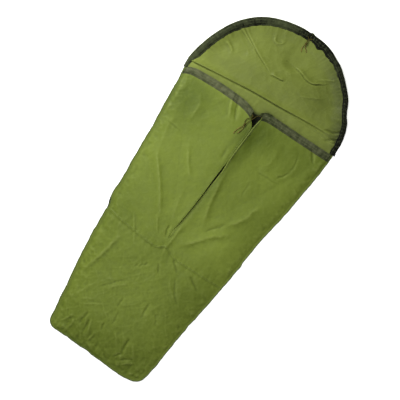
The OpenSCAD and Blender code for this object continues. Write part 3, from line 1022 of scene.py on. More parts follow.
class Graph:
    """Short calls for filling a node tree."""

    def __init__(self, tree: NodeTree) -> None:
        """Takes the tree to fill."""
        self.tree = tree

    def feed(self, socket: NodeSocket, value: object) -> None:
        """Links a socket to another, or sets its own value.

        Args:
            socket: The socket to feed.
            value: Another node's output, or a plain value.
        """
        if isinstance(value, NodeSocket):
            self.tree.links.new(value, socket)
        else:
            socket.default_value = value

    def add(self, kind: str, inputs: dict | None = None, **settings: object) -> Node:
        """Adds a node.

        Args:
            kind: Blender's name for the node.
            inputs: What feeds its sockets, by name or number.
            settings: Its properties.

        Returns:
            The new node.
        """
        node = self.tree.nodes.new(kind)
        for name, value in settings.items():
            setattr(node, name, value)
        for socket, value in (inputs or {}).items():
            self.feed(node.inputs[socket], value)
        return node

    def math(self, operation: str, *values: object) -> NodeSocket:
        """Adds a calculation with one to three values and returns its result."""
        return self.add("ShaderNodeMath", dict(enumerate(values)), operation=operation).outputs[0]

    def plus(self, a: object, b: object) -> NodeSocket:
        """Adds two values."""
        return self.math("ADD", a, b)

    def times(self, a: object, b: object) -> NodeSocket:
        """Multiplies two values."""
        return self.math("MULTIPLY", a, b)

    def mixed(self, share: object, a: object, b: object) -> NodeSocket:
        """Mixes colour b into colour a by a share and returns the colour."""
        return self.add("ShaderNodeMix", {0: share, 6: a, 7: b}, data_type="RGBA").outputs[2]

    def spread(self, value: object, low: float, high: float, to_low: float = 0.0,
               to_high: float = 1.0) -> NodeSocket:
        """Stretches a value from one span to another, held at both ends."""
        return self.add("ShaderNodeMapRange", {0: value, 1: low, 2: high, 3: to_low, 4: to_high}).outputs[0]


class SharedEffects:
    """The shader node groups that more than one finish uses."""

    def __init__(self) -> None:
        """Builds each group once."""
        self.threads = self._threads()
        self.patches = self._patches()
        self.creases = self._creases()
        self.rubbed = self._on_crests("rubbed_crests", 1.0, 4.0, span=(0.3, 0.65), least=0.2)
        # Darkens the bottoms of folds and puckers: part soil, part painted shade.
        self.soiled_and_shaded = self._on_crests("soiled_and_shaded_creases", -1.0, 3.0, span=(0.25, 0.6), least=0.4)

    @staticmethod
    def _group(name: str, values: dict[str, float], output: str) -> tuple[Graph, Sockets, NodeSocket]:
        """Starts a group with flat coordinates, named values and one output.

        Args:
            name: The group's name.
            values: Its number inputs with their first values.
            output: The name of what it puts out.

        Returns:
            Its graph, its inputs by name, and the socket to feed.
        """
        tree = bpy.data.node_groups.new(name, "ShaderNodeTree")
        tree.interface.new_socket("Flat", in_out="INPUT", socket_type="NodeSocketVector")
        for key, value in values.items():
            entry = tree.interface.new_socket(key, in_out="INPUT", socket_type="NodeSocketFloat")
            entry.default_value = value
        tree.interface.new_socket(output, in_out="OUTPUT", socket_type="NodeSocketFloat")
        graph = Graph(tree)
        got = {s.name: s for s in graph.add("NodeGroupInput").outputs if s.name}
        return graph, got, graph.add("NodeGroupOutput").inputs[output]

    @staticmethod
    def _cloud(graph: Graph, got: Sockets, detail: float) -> tuple[Node, NodeSocket]:
        """Adds noise with bumps of the group's size.

        Args:
            graph: The group's graph.
            got: The group's inputs.
            detail: How many finer layers the noise has.

        Returns:
            The noise and its scale.
        """
        scale = graph.math("DIVIDE", 1.0, got["Size"])
        noise = graph.add("ShaderNodeTexNoise", {"Vector": got["Flat"], "Scale": scale, "Detail": detail})
        return noise, scale

    def _threads(self) -> NodeTree:
        """Makes a plain weave: warp and weft that pass over each other.

        Returns:
            The group, which puts out a height of 0 to 1.
        """
        graph, got, out = self._group("woven_threads", {"Pitch": 0.001}, "Height")
        apart = graph.add("ShaderNodeSeparateXYZ", {0: got["Flat"]}).outputs
        turn = graph.math("DIVIDE", math.pi, got["Pitch"])
        warp, weft = (graph.math("SINE", graph.times(apart[k], turn)) for k in (0, 1))
        graph.feed(out, graph.math("MULTIPLY_ADD", graph.times(warp, weft), 0.5, 0.5))
        return graph.tree

    def _patches(self) -> NodeTree:
        """Makes uneven patches of dye and fading.

        Returns:
            The group, which puts out a mask.
        """
        graph, got, out = self._group("faded_patches", {"Size": 0.2}, "Mask")
        noise, _ = self._cloud(graph, got, detail=5.0)
        graph.feed(out, graph.spread(noise.outputs[0], 0.34, 0.66))
        return graph.tree

    def _creases(self) -> NodeTree:
        """Makes fine set creases of cloth that is kept folded.

        Returns:
            The group, which puts out a height.
        """
        graph, got, out = self._group("fine_creases", {"Size": 0.05}, "Height")
        warp, scale = self._cloud(graph, got, detail=3.0)
        bend, edge_share, soft_share = (0.06, 0.06, 0.0), 0.5, 0.8
        pull = graph.add("ShaderNodeVectorMath", {0: warp.outputs[1], 1: bend}, operation="MULTIPLY")
        bent = graph.add("ShaderNodeVectorMath", {0: got["Flat"], 1: pull.outputs[0]}, operation="ADD")
        cell = graph.add("ShaderNodeTexVoronoi", {"Vector": bent.outputs[0], "Scale": scale},
                         feature="DISTANCE_TO_EDGE")
        edge = graph.spread(cell.outputs[0], 0.0, 0.35)
        soft = graph.times(warp.outputs[0], soft_share)
        graph.feed(out, graph.plus(graph.times(edge, edge_share), soft))
        return graph.tree

    def _on_crests(self, name: str, toward: float, detail: float, span: Point,
                   least: float) -> NodeTree:
        """Makes a mask on the crests or in the bottoms of folds and puckers, broken up by patches.

        Args:
            name: The group's name.
            toward: 1 for crests, or -1 for bottoms.
            detail: How many finer layers the patches have.
            span: The values of the noise that the patches start and end at.
            least: The mask's share between the patches.

        Returns:
            The group, which puts out the mask.
        """
        graph, got, out = self._group(name, {"Size": 0.03}, "Mask")
        crest = graph.add("ShaderNodeAttribute", attribute_name="wear").outputs["Fac"]
        noise, _ = self._cloud(graph, got, detail)
        broken = graph.spread(noise.outputs[0], *span, least)
        graph.feed(out, graph.times(graph.spread(crest, 0.0, toward), broken))
        return graph.tree


class MaterialGraph(Graph):
    """A new material's graph, with its shader, its flat coordinates and the shared effects."""

    def __init__(self, material: Material, effects: SharedEffects) -> None:
        """Takes the material to fill and the shared effects.

        Args:
            material: The new material.
            effects: The shared effects.
        """
        material.use_nodes = True
        super().__init__(material.node_tree)
        self.effects = effects
        self.shader = material.node_tree.nodes["Principled BSDF"]
        self.flat = self.add("ShaderNodeUVMap", uv_map="flat_cut").outputs[0]

    def fade(self) -> NodeSocket:
        """Reads how faded the piece is, with its painted light and shade, place by place."""
        return self.add("ShaderNodeAttribute", attribute_name="fade").outputs["Fac"]

    def place(self, effect: NodeTree, **values: float) -> NodeSocket:
        """Places a shared effect with its own values and returns what it puts out."""
        return self.add("ShaderNodeGroup", {"Flat": self.flat, **values}, node_tree=effect).outputs[0]

    def shade(self, name: str, value: object) -> None:
        """Feeds one of the shader's sockets, or sets its own value."""
        self.feed(self.shader.inputs[name], value)

    def emboss(self, height: NodeSocket, strength: float, distance: float) -> None:
        """Raises the surface by a height that changes over it, up to a distance in metres."""
        bump = self.add("ShaderNodeBump", {"Strength": strength, "Distance": distance, "Height": height})
        self.shade("Normal", bump.outputs[0])


@dataclass(frozen=True)
class Finish:
    """What all finishes share: a name and the way that their material is made."""

    name: str

    def made(self, effects: SharedEffects) -> Material:
        """Makes the finish's material.

        Args:
            effects: The shared effects.

        Returns:
            The new material.
        """
        material = bpy.data.materials.new(self.name)
        self.paint(MaterialGraph(material, effects))
        return material

    def paint(self, graph: MaterialGraph) -> None:
        """Fills the graph of a new material."""
        raise NotImplementedError


@dataclass(frozen=True)
class ClothFinish(Finish):
    """Laminated olive cloth, seen from its face or its coated inside."""

    colour: Colour
    faded: Colour
    rubbed: Colour
    soil_and_shade: Colour
    # Near-black colour of painted shadow, mixed in where the fade mark is below 0.
    painted_shadow: Colour = dye(8, 9, 2)
    roughness: float = 0.55
    rough_span: float = 0.07
    shadow_rough: float = 0.4
    pitch: float = 0.0011
    weave: float = 0.00012
    crease: float = 0.0013
    sheen: float = 0.05
    gloss: float = 0.2
    sun: float = -0.05
    broad_share: float = 0.16
    fine_share: float = 0.07
    soil_and_shade_share: float = 0.4
    wear_share: float = 0.4

    def paint(self, graph: MaterialGraph) -> None:
        """Fills the graph of a new material.

        Args:
            graph: The material's graph.
        """
        effects = graph.effects
        broad = graph.place(effects.patches, Size=0.32)
        fine = graph.place(effects.patches, Size=0.045)
        wear = graph.place(effects.rubbed, Size=0.03)
        soil_and_shade = graph.place(effects.soiled_and_shaded, Size=0.02)
        crease = graph.place(effects.creases, Size=0.055)
        weave = graph.place(effects.threads, Pitch=self.pitch)
        fade = graph.fade()
        share = graph.plus(graph.times(broad, self.broad_share), graph.times(fine, self.fine_share))
        share = graph.plus(graph.plus(share, self.sun), fade)
        # Below 0 the fade mark paints shadow: the tone darkens toward near-black and the surface gets
        # rougher.
        shadowed = graph.spread(fade, 0.0, -1.0)
        tone = graph.mixed(share, self.colour, self.faded)
        tone = graph.mixed(shadowed, tone, self.painted_shadow)
        # Darkens the hollows of folds, part soil and part painted shade.
        tone = graph.mixed(graph.times(soil_and_shade, self.soil_and_shade_share), tone, self.soil_and_shade)
        graph.shade("Base Color", graph.mixed(graph.times(wear, self.wear_share), tone, self.rubbed))
        low, high = self.roughness - self.rough_span, self.roughness + self.rough_span
        rough = graph.spread(fine, 0.0, 1.0, low, high)
        graph.shade("Roughness", graph.plus(rough, graph.times(shadowed, self.shadow_rough)))
        height = graph.plus(graph.times(crease, self.crease), graph.times(weave, self.weave))
        graph.emboss(height, strength=0.8, distance=1.0)
        graph.shade("Sheen Weight", self.sheen)
        graph.shade("Specular IOR Level", self.gloss)


@dataclass(frozen=True)
class TapeFinish(Finish):
    """Woven tape: coarser threads, rubbed at its puckers."""

    colour: Colour
    faded: Colour
    rubbed: Colour
    pitch: float = 0.0019
    roughness: float = 0.72
    sheen: float = 0.03
    gloss: float = 0.1
    patch_share: float = 0.9
    least: float = 0.32

    def paint(self, graph: MaterialGraph) -> None:
        """Fills the graph of a new material.

        Args:
            graph: The material's graph.
        """
        patch = graph.place(graph.effects.patches, Size=0.03)
        wear = graph.place(graph.effects.rubbed, Size=0.012)
        weave = graph.place(graph.effects.threads, Pitch=self.pitch)
        share = graph.times(graph.times(patch, self.patch_share), graph.spread(weave, 0.0, 1.0, 0.35))
        share = graph.plus(graph.math("SUBTRACT", share, self.least), graph.fade())
        tone = graph.mixed(share, self.colour, self.faded)
        graph.shade("Base Color", graph.mixed(wear, tone, self.rubbed))
        rough = graph.spread(weave, 0.0, 1.0, self.roughness + 0.1, self.roughness - 0.06)
        graph.shade("Roughness", rough)
        graph.emboss(weave, strength=0.9, distance=0.0006)
        graph.shade("Sheen Weight", self.sheen)
        graph.shade("Specular IOR Level", self.gloss)


@dataclass(frozen=True)
class CordFinish(Finish):
    """Braided cord with tan yarns among the olive ones."""

    colour: Colour
    tan: Colour
    worn: Colour
    strands: float = 6.0
    lay: float = 0.009
    gloss: float = 0.1
    worn_share: float = 0.35

    def paint(self, graph: MaterialGraph) -> None:
        """Fills the graph of a new material.

        Args:
            graph: The material's graph.
        """
        apart = graph.add("ShaderNodeSeparateXYZ", {0: graph.flat}).outputs
        turn = graph.times(apart[0], 2 * math.pi * self.strands)
        run = graph.times(apart[1], 2 * math.pi / self.lay * self.strands / 2)
        over = graph.math("SINE", graph.plus(turn, run))
        under = graph.math("SINE", graph.math("SUBTRACT", turn, run))
        braid = graph.math("MAXIMUM", over, under)
        patch = graph.place(graph.effects.patches, Size=0.012)
        # A low fade mark holds back the tan and rubbed yarns, for the cord's darker run and its painted
        # shade.
        pale_share = graph.spread(graph.fade(), 0.0, 1.0, 0.25)
        yarn = graph.spread(graph.times(over, under), -0.2, 0.6)
        tone = graph.mixed(graph.times(yarn, pale_share), self.colour, self.tan)
        worn = graph.times(graph.times(patch, self.worn_share), pale_share)
        graph.shade("Base Color", graph.mixed(worn, tone, self.worn))
        graph.shade("Roughness", graph.spread(braid, -1.0, 1.0, 0.85, 0.6))
        graph.emboss(braid, strength=0.9, distance=0.0005)
        graph.shade("Specular IOR Level", self.gloss)


@dataclass(frozen=True)
class ThreadFinish(Finish):
    """Twisted sewing thread."""

    colour: Colour
    shade: Colour
    pitch: float = 0.0007

    def paint(self, graph: MaterialGraph) -> None:
        """Fills the graph of a new material.

        Args:
            graph: The material's graph.
        """
        twist = graph.place(graph.effects.threads, Pitch=self.pitch)
        graph.shade("Base Color", graph.mixed(twist, self.shade, self.colour))
        graph.shade("Roughness", graph.spread(twist, 0.0, 1.0, 0.75, 0.5))
        graph.emboss(twist, strength=0.7, distance=0.0002)


@dataclass(frozen=True)
class Cabinet:
    """The sack's finished materials, made once."""

    face: Material
    inside: Material
    mouth: Material
    rim: Material
    seam: Material
    cord: Material
    thread: Material
    dark_thread: Material

    @classmethod
    def stocked(cls) -> "Cabinet":
        """Makes the shared effects and each finish.

        Returns:
            The cabinet with all its materials.
        """
        effects = SharedEffects()
        face = ClothFinish(
            "olive_cloth_face", colour=dye(77, 93, 17), faded=dye(135, 151, 56), rubbed=dye(150, 162, 84),
            soil_and_shade=dye(52, 62, 16))
        inside = ClothFinish(
            "olive_cloth_inside", colour=dye(43, 51, 12), faded=dye(135, 148, 62), rubbed=dye(146, 157, 80),
            soil_and_shade=dye(44, 52, 14), roughness=0.5, crease=0.0008, sun=0.05)
        mouth = TapeFinish(
            "mouth_tape", colour=dye(50, 58, 29), faded=dye(104, 108, 76), rubbed=dye(104, 108, 78))
        rim = TapeFinish(
            "hood_tape", colour=dye(10, 12, 5), faded=dye(72, 79, 50), rubbed=dye(72, 79, 52))
        seam = TapeFinish(
            "seam_binding", colour=dye(96, 110, 56), faded=dye(106, 120, 66), rubbed=dye(124, 134, 86),
            pitch=0.0012)
        cord = CordFinish(
            "braided_cord", colour=dye(52, 55, 18), tan=dye(196, 170, 92), worn=dye(136, 118, 62))
        thread = ThreadFinish("sewing_thread", colour=dye(112, 124, 66), shade=dye(84, 94, 46))
        dark_thread = ThreadFinish("tape_thread", colour=dye(64, 70, 44), shade=dye(44, 50, 28))
        finishes = (face, inside, mouth, rim, seam, cord, thread, dark_thread)
        return cls(*(finish.made(effects) for finish in finishes))


@dataclass
class SubAssembly:
    """One sub-assembly: it knows how the cloth lies and which finishes there are."""

    lie: Lie
    cabinet: Cabinet
    thread: float = 0.55
    pieces: list[Object] = field(default_factory=list, init=False)
    STITCH: ClassVar[tuple[Spot, ...]] = (
        (-0.42, 0.25, -0.25), (-0.26, 1.0, 0.3), (0.26, 1.0, 0.3), (0.42, 0.25, -0.25))
    STITCH_SIDES: ClassVar[int] = 6
    STITCH_FLAT: ClassVar[float] = 0.0004

    @property
    def cut(self) -> Cut:
        """The sack's sizes."""
        return self.lie.cut

    def build(self) -> None:
        """Makes the sub-assembly's pieces."""
        raise NotImplementedError

    def faded(self, x: Array, y: Array) -> Array:
        """Tells how faded the piece is at places as laid, with painted light and shade, 0 to 1."""
        return self.lie.faded(x, y)

    def fit(self, piece: Object, carry: Carried, nodes: tuple[str, ...], slot: str,
            *materials: Material) -> Object:
        """Dresses a piece, passes it to its carrier and hides the solids that it stands for.

        Args:
            piece: The finished mesh.
            carry: The body or bodies that carry it.
            nodes: The solids that it replaces.
            slot: Not used.
            materials: Its upper and lower finish.

        Returns:
            The same piece.
        """
        for material in materials if len(materials) > 1 else materials * 2:
            piece.data.materials.append(material)
        spots = np.zeros(len(piece.data.vertices) * 3, np.float32)
        piece.data.vertices.foreach_get("co", spots)
        x, y = (spots.reshape(-1, 3) / MM).T[:2]
        # The mark holds the cloth's fading together with its painted light and shade.
        mark(piece, "fade", self.faded(x, y))
        carry.hold(piece)
        if nodes:
            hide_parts(*nodes)
        self.pieces.append(piece)
        return piece

    def stitch(self, name: str, line: Array, carry: Carried, pitch: float = 5.0, dark: bool = False) -> None:
        """Sews a row of stitches along a line on the surface.

        Args:
            name: The row's name.
            line: Points on the surface, in millimetres.
            carry: The body or bodies that carry the row.
            pitch: Distance from stitch to stitch.
            dark: True for the darker thread of the tapes.
        """
        at = even_line(line, pitch)
        along, across, up = frames_along(at)
        sides, ring = self.STITCH_SIDES, np.arange(self.STITCH_SIDES)
        circle = circles(across, up, ring * np.pi / (sides / 2))
        rings = [at[:, None] + along[:, None] * t * pitch + up[:, None] * h * self.thread
                 + r * self.thread * circle for t, r, h in self.STITCH]
        points = np.stack(rings, axis=1).reshape(-1, 3)
        beside = (ring + 1) % sides
        wall = np.stack([ring, beside, beside + sides, ring + sides], axis=1)
        one = np.concatenate([wall + k * sides for k in range(len(rings) - 1)])
        corner = np.arange(sides * len(rings))
        faces = (one[None] + len(corner) * np.arange(len(at))[:, None, None]).reshape(-1, 4)
        uv = np.tile(np.stack([corner // sides, corner % sides], 1), (len(at), 1)) * self.STITCH_FLAT
        piece = mesh_object(name, points, faces, np.zeros(len(faces), int), uv)
        self.fit(piece, carry, (), "seam", self.cabinet.dark_thread if dark else self.cabinet.thread)


@dataclass
class BagBase(SubAssembly):
    """The base under the whole sack, up to the seam that the hood folds on."""

    rows: int = 170
    columns: int = 121
    mouth_rows: int = 70
    mouth_back: float = 97.0
    crowded: float = 0.8
    thickness: float = 1.2
    clear: float = 0.2
    inside_shade: float = 0.5
    gap_shade: float = 0.88
    line_shade: float = 0.9

    def faded(self, x: Array, y: Array) -> Array:
        """The base is painted with shade inside the sack, near-black in the mouth's gap, and with a thin
        shadow line past the right casing.

        Args:
            x: Places across, as laid.
            y: Places along, as laid.

        Returns:
            How faded the base is, below 0 where it is dark.
        """
        past = y - self.cut.hem_y - eased(x, self.lie.hem_wave)
        # Painted shade: the base is darkened under the front, and more in the mouth's gap and along a thin
        # line past the right casing's hem.
        unshaded = rising(past - 14 * hump(x, middle=0, reach=45), start=-16, over=24)
        inside_shadow = self.inside_shade * falling(past, end=0, over=14)
        gap = rising(y, start=400, over=120) * falling(y - 0.5 * x, end=553, over=12)
        gap = self.gap_shade * gap * falling(np.abs(x - 3), end=70, over=50)
        line = rising(x, start=12, over=8) * falling(x, end=110, over=60)
        line = self.line_shade * line * hump(past, middle=3.5, reach=4)
        return self.lie.faded(x, y) * unshaded - np.maximum(np.maximum(inside_shadow, gap), line)

    def build(self) -> None:
        """Makes the base."""
        cut = self.cut
        mouth = cut.hem_y - self.mouth_back
        y = np.concatenate([np.linspace(cut.foot_y, mouth, self.rows - self.mouth_rows, endpoint=False),
                            np.linspace(mouth, cut.hinge_y, self.mouth_rows)])
        u = np.linspace(-1, 1, self.columns)
        y, c = np.meshgrid(y, u * np.abs(u) ** self.crowded, indexing="ij")
        x = c * cut.half(y)
        top = self.lie.hood(x, y)
        past_mouth = rising(y, start=cut.hem_y - 70, over=60)
        top[..., 2] = cut.cloth + (top[..., 2] - cut.cloth) * past_mouth
        under = top.copy()
        under[..., 2] = np.maximum(top[..., 2] - self.thickness, self.clear)
        piece = shell("base_cloth", top, under, np.stack([x, y], -1))
        self.fit(piece, hood_carry(cut), ("base_panel",), "body_cloth",
                 self.cabinet.inside, self.cabinet.face)
        length = cut.hinge_y - cut.foot_y
        area = (cut.foot_half + float(cut.side_half(cut.hinge_y))) * length * MM * MM


@dataclass
class LowerFront(SubAssembly):
    """The front from the foot to the cross seam."""

    rows: int = 150
    columns: int = 150
    crowded: float = 1.15
    thickness: float = 0.9

    def build(self) -> None:
        """Makes the lower front."""
        cut = self.cut
        y = cut.foot_y + np.linspace(0, 1, self.rows) ** self.crowded * (cut.cross_y - cut.foot_y)
        y, c = np.meshgrid(y, np.linspace(-1, 1, self.columns), indexing="ij")
        x = c * cut.half(y)
        top = self.lie.front(x, y)
        piece = shell("lower_front_cloth", top, top - (0, 0, self.thickness), np.stack([x, y], -1))
        self.fit(piece, Carried("sack"), ("lower_front_panel",), "body_cloth",
                 self.cabinet.face, self.cabinet.inside)
        wide = 2 * float(cut.side_half(cut.cross_y))


@dataclass(frozen=True)
class SlitRoll:
    """How one edge of the slit is rolled, in millimetres."""

    width: float
    proud: float
    sunk: float
    worn: float


@dataclass(kw_only=True)
class UpperFront(SubAssembly):
    """One side of the upper front: the part that stays and the flap, cut as one sheet."""

    side: Side
    rows: int = 210
    columns: int = 100
    thickness: float = 0.9
    roll_points: int = 200
    roll_sides: int = 14
    roll_flatness: float = 0.5
    stitch_back: float = 1.5
    ROLLS: ClassVar[dict[Side, SlitRoll]] = {
        Side.LEFT: SlitRoll(width=3.4, proud=0.0, sunk=0.8, worn=0.1),
        Side.RIGHT: SlitRoll(width=4.8, proud=2.2, sunk=1.6, worn=1.0)}

    def build(self) -> None:
        """Makes the sheet, its rolled slit edge and its stitches."""
        cut, s = self.cut, self.side.value
        y, u = np.meshgrid(np.linspace(cut.cross_y, cut.hem_y, self.rows), np.linspace(0, 1, self.columns),
                           indexing="ij")
        first = eased(y, self.lie.slit_open) * (y > cut.slit_y)
        x = s * (first + u * (cut.half(y) - first))
        order = slice(None, None, s)
        top = self.lie.front(x, y)[:, order]
        piece = shell(f"{self.side.word}_front_cloth", top, top - (0, 0, self.thickness),
                      np.stack([x, y], -1)[:, order])
        nodes = (f"{self.side.word}_front_panel", f"{self.side.word}_front_flap")
        carry = flap_carry(cut, self.side)
        self.fit(piece, carry, nodes, "body_cloth", self.cabinet.face, self.cabinet.inside)
        length = cut.hem_y - cut.cross_y
        area = (float(cut.side_half(cut.cross_y)) + cut.mouth_half) / 2 * length * MM * MM
        self.roll_edge(carry)

    def roll_edge(self, carry: Carried) -> None:
        """Makes the rolled edge along the slit with its row of stitches.

        Args:
            carry: The bodies that the flap bends between.
        """
        cut, s, roll = self.cut, self.side.value, self.ROLLS[self.side]
        y = np.linspace(cut.slit_y + 4, cut.hem_y - cut.tape + 2, self.roll_points)
        open_by = eased(y, self.lie.slit_open)
        width = roll.width + Bumps(0.6, 30, 4.0 + s).at(y, y * 0)
        width = width * smooth((y - cut.slit_y) / 60 + 0.2)
        line = self.lie.front(s * (open_by + width * 0.8), y)
        line[:, 2] += roll.proud * rising(y, start=150, over=150) - roll.sunk
        piece = tube(f"{self.side.word}_slit_roll", line, width, self.roll_sides,
                     squash=self.roll_flatness, worn=roll.worn)
        self.fit(piece, carry, (f"{self.side.word}_slit_edge",), "body_cloth", self.cabinet.face)
        sewn = self.lie.front(s * (open_by + 2 * width + self.stitch_back), y) + (0, 0, 0.1)
        self.stitch(f"{self.side.word}_slit_stitches", sewn, carry)


@dataclass
class SeamWork(SubAssembly):
    """The bound side and foot seams, and the felled seams across the front and the hood."""

    bound: float = 3.6
    bound_height: float = 2.4
    bound_sides: int = 12
    bound_flatness: float = 0.6
    overlap: float = 2.5
    swell: float = 0.4
    stray: float = 0.8
    stitch_in: float = 1.5
    stitch_pitch: float = 6.0
    side_points: int = 220
    corner_points: int = 14
    foot_points: int = 60
    felled: float = 16.0
    felled_points: int = 190
    hood_ends: float = 40.0
    bound_ripple: Bumps = Bumps(1.0, 46, 7.7)
    felled_ripple: Bumps = Bumps(0.35, 24, 2.9, (1.0, 60.0))
    PROFILE: ClassVar[tuple[float, ...]] = (0.05, 0.9, 1.25, 1.0, 0.9, 1.2, 0.9, 0.05)
    STITCHED: ClassVar[dict[str, int]] = {"lower": 2, "upper": 5}

    def build(self) -> None:
        """Makes all the seams with their stitches."""
        cut = self.cut
        for side in Side:
            s = side.value
            y = np.linspace(cut.foot_y + cut.foot_corner + 1, cut.hem_y, self.side_points)
            self.bind(f"{side.word}_side_binding", s * cut.half(y), y, f"{side.word}_side_seam", s)
        turn = np.linspace(0, np.pi / 2, self.corner_points)
        middle = float(cut.half(cut.foot_y))
        corner = np.stack([middle + cut.foot_corner * np.sin(turn),
                           cut.foot_y + cut.foot_corner * (1 - np.cos(turn))])
        across = np.linspace(-middle, middle, self.foot_points)[1:-1]
        run = np.stack([across, np.full(len(across), cut.foot_y)])
        x, y = np.concatenate([(corner * [[-1], [1]])[:, ::-1], run, corner], axis=1)
        self.bind("foot_binding", x, y, "foot_seam", 1)
        half = float(cut.half(cut.cross_y)) - cut.seam_margin
        self.fell("cross_seam", half, cut.cross_y, self.lie.front, Carried("sack"), self.cabinet.face)
        half = float(cut.side_half(cut.hinge_y)) - self.hood_ends
        self.fell("hood_seam", half, cut.hinge_y, self.lie.hood, hood_carry(cut), self.cabinet.inside)

    def bind(self, name: str, x: Array, y: Array, node: str, turn: int) -> None:
        """Binds an edge of the sack with a narrow rolled strip.

        Args:
            name: The strip's name.
            x: Places across the cut along the edge.
            y: Places along the cut.
            node: The solid that it stands for.
            turn: 1 where the sack lies to the left of the run, or -1.
        """
        px, py = self.lie.front_plan(x, y)
        way = unit(np.stack([np.gradient(px), np.gradient(py)], axis=1))
        inward = np.stack([-way[:, 1], way[:, 0]], axis=1) * turn
        wave = self.bound_ripple.at(x, y)
        line = np.stack([px, py, self.bound_height + self.swell * wave], axis=1)
        line[:, :2] += inward * (self.bound - self.overlap - self.stray * wave[:, None])
        strip = tube(name, line, self.bound + self.swell * wave, self.bound_sides, self.bound_flatness)
        self.fit(strip, Carried("sack"), (node,), "seam", self.cabinet.seam)
        sewn = line + (0, 0, self.bound / 2)
        sewn[:, :2] += inward * self.stitch_in
        self.stitch(f"{name}_stitches", sewn, Carried("sack"), self.stitch_pitch)

    def fell(self, node: str, half: float, y: float, surface: Surface, carry: Carried,
             finish: Material) -> None:
        """Sews a felled seam across the sack.

        Args:
            node: The solid that it stands for.
            half: Half of its length.
            y: Its place along the cut.
            surface: Places points on the cloth that carries it.
            carry: The body or bodies that carry it.
            finish: The side of the cloth that shows.
        """
        x, v = np.meshgrid(np.linspace(-half, half, self.felled_points),
                           np.linspace(-0.5, 0.5, len(self.PROFILE)), indexing="ij")
        base = surface(x, y + v * self.felled)
        top = base + upward(self.PROFILE * (1 + self.felled_ripple.at(x, v)))
        order = slice(None, None, -1)
        flat = np.stack([x, y + v * self.felled], -1)
        piece = shell(f"{node}_fell", top[:, order], base[:, order], flat[:, order])
        self.fit(piece, carry, (node,), "seam", finish)
        for word, k in self.STITCHED.items():
            self.stitch(f"{node}_fell_{word}_stitches", top[:, k] + (0, 0, 0.1), carry)


@dataclass
class Casing(SubAssembly):
    """A tape casing with its tunnel, its inner cord and its stitches."""

    height: float = 6.0
    edge: float = 8.0
    sewn: float = 1.0
    columns: int = 19
    thickness: float = 1.0
    clear: float = 0.12
    shoulder: float = 11.0
    rounded: float = 1.2
    full: float = 0.84
    gathers: float = 0.32
    edge_gathers: float = 0.5
    stitch_pitch: float = 5.5
    cord_sides: int = 8
    STITCHED: ClassVar[dict[str, int]] = {"inner": 2, "outer": -3}

    def profile(self, across: Array, ripple: Array, room: Array) -> Array:
        """Height of the tape over the cloth: flat sewn edges and a tunnel between them.

        Args:
            across: Distance from the tape's edge, in millimetres.
            ripple: Gathers along the tape, about -1 to 1.
            room: How far the tunnel stands open, 0 to 1.

        Returns:
            The height of the tape's upper face.
        """
        into = np.minimum(across, self.cut.tape - across)
        arch = rising(into, start=self.edge - 2, over=self.shoulder) * room
        edge = smooth(into / self.rounded)
        tunnel = arch * (self.height - self.sewn) * (self.full + self.gathers * ripple)
        return self.sewn * edge + tunnel + self.edge_gathers * ripple * edge

    def sew(self, name: str, places: tuple[Array, Array], surface: Surface, carry: Carried, node: str,
            slot: str, finish: Material, turned: bool, seed: float, closed_to: float = 0.0) -> None:
        """Makes the tape over a grid of places on the cloth.

        Args:
            name: The tape's name.
            places: Across and along the cut, rows along the tape and columns across it.
            surface: Places points on the cloth that carries it.
            carry: The body or bodies that carry it.
            node: The solid that it stands for.
            slot: The record's material slot.
            finish: The tape's material.
            turned: True where the grid runs the other way round.
            seed: Chooses its gathers.
            closed_to: How far from the middle of the sack the tunnel is sewn shut.
        """
        x, y = places
        base = surface(x, y)
        middle = self.columns // 2
        steps = np.hypot(np.diff(x[:, middle - 1]), np.diff(y[:, middle - 1]))
        run, across = np.meshgrid(np.concatenate([[0], np.cumsum(steps)]),
                                  np.linspace(0, self.cut.tape, self.columns), indexing="ij")
        ripple = Bumps(1.0, 22, seed, (1.0, 0.3)).at(run, across)
        room = np.ones((len(x), 1))
        if closed_to:
            room = rising(np.abs(x[:, middle, None]), start=closed_to, over=9)
        high = self.profile(across, ripple, room)
        top = base + upward(high)
        under = base + upward(np.maximum(high - self.thickness, self.clear))
        order = slice(None, None, -1 if turned else 1)
        piece = shell(name, top[:, order], under[:, order], np.stack([run, across], -1)[:, order])
        self.fit(piece, carry, (node,), slot, finish)
        for word, k in self.STITCHED.items():
            self.stitch(f"{name}_{word}_stitches", top[:, k] + (0, 0, 0.15), carry, self.stitch_pitch, True)

    def lay_cord(self, name: str, line: Array, carry: Carried, node: str) -> None:
        """Lays the cord that runs inside the tunnel."""
        cord = tube(name, line, self.cut.cord / 2, self.cord_sides)
        self.fit(cord, carry, (node,), "cord", self.cabinet.cord)


@dataclass(kw_only=True)
class MouthCasing(Casing):
    """The tape casing along one half of the mouth hem."""

    side: Side
    setback: float = 13.0
    side_gap: float = 8.0
    cord_gap: float = 30.0
    cord_clear: float = 0.3
    steps: int = 220
    cord_points: int = 80

    def build(self) -> None:
        """Makes the tape and the cord in it."""
        cut, s, word = self.cut, self.side.value, self.side.word
        start = cut.cord_exit + self.setback
        along, across = np.meshgrid(np.linspace(start, cut.mouth_half - self.side_gap, self.steps),
                                    np.linspace(0, cut.tape, self.columns), indexing="ij")
        carry = flap_carry(cut, self.side)
        y = cut.hem_y + 1.0 - cut.tape + across
        self.sew(f"{word}_mouth_tape", (s * along, y), self.lie.front, carry, f"{word}_mouth_casing",
                 "mouth_tape", self.cabinet.mouth, turned=s > 0, seed=1.0 + s)
        x = s * np.linspace(start - 1, cut.mouth_half - self.cord_gap, self.cord_points)
        line = self.lie.front(x, np.full(len(x), cut.hem_y - cut.tape / 2))
        line = line + (0, 0, cut.cord / 2 + self.cord_clear)
        self.lay_cord(f"{word}_mouth_inner_cord", line, carry, f"{word}_mouth_cord")


@dataclass(frozen=True)
class RimTape:
    """How one half of the rim's tape narrows and how loosely it lies, in millimetres of its run."""

    narrowed: float
    start: float
    over: float
    slack: float
    top_slack: float


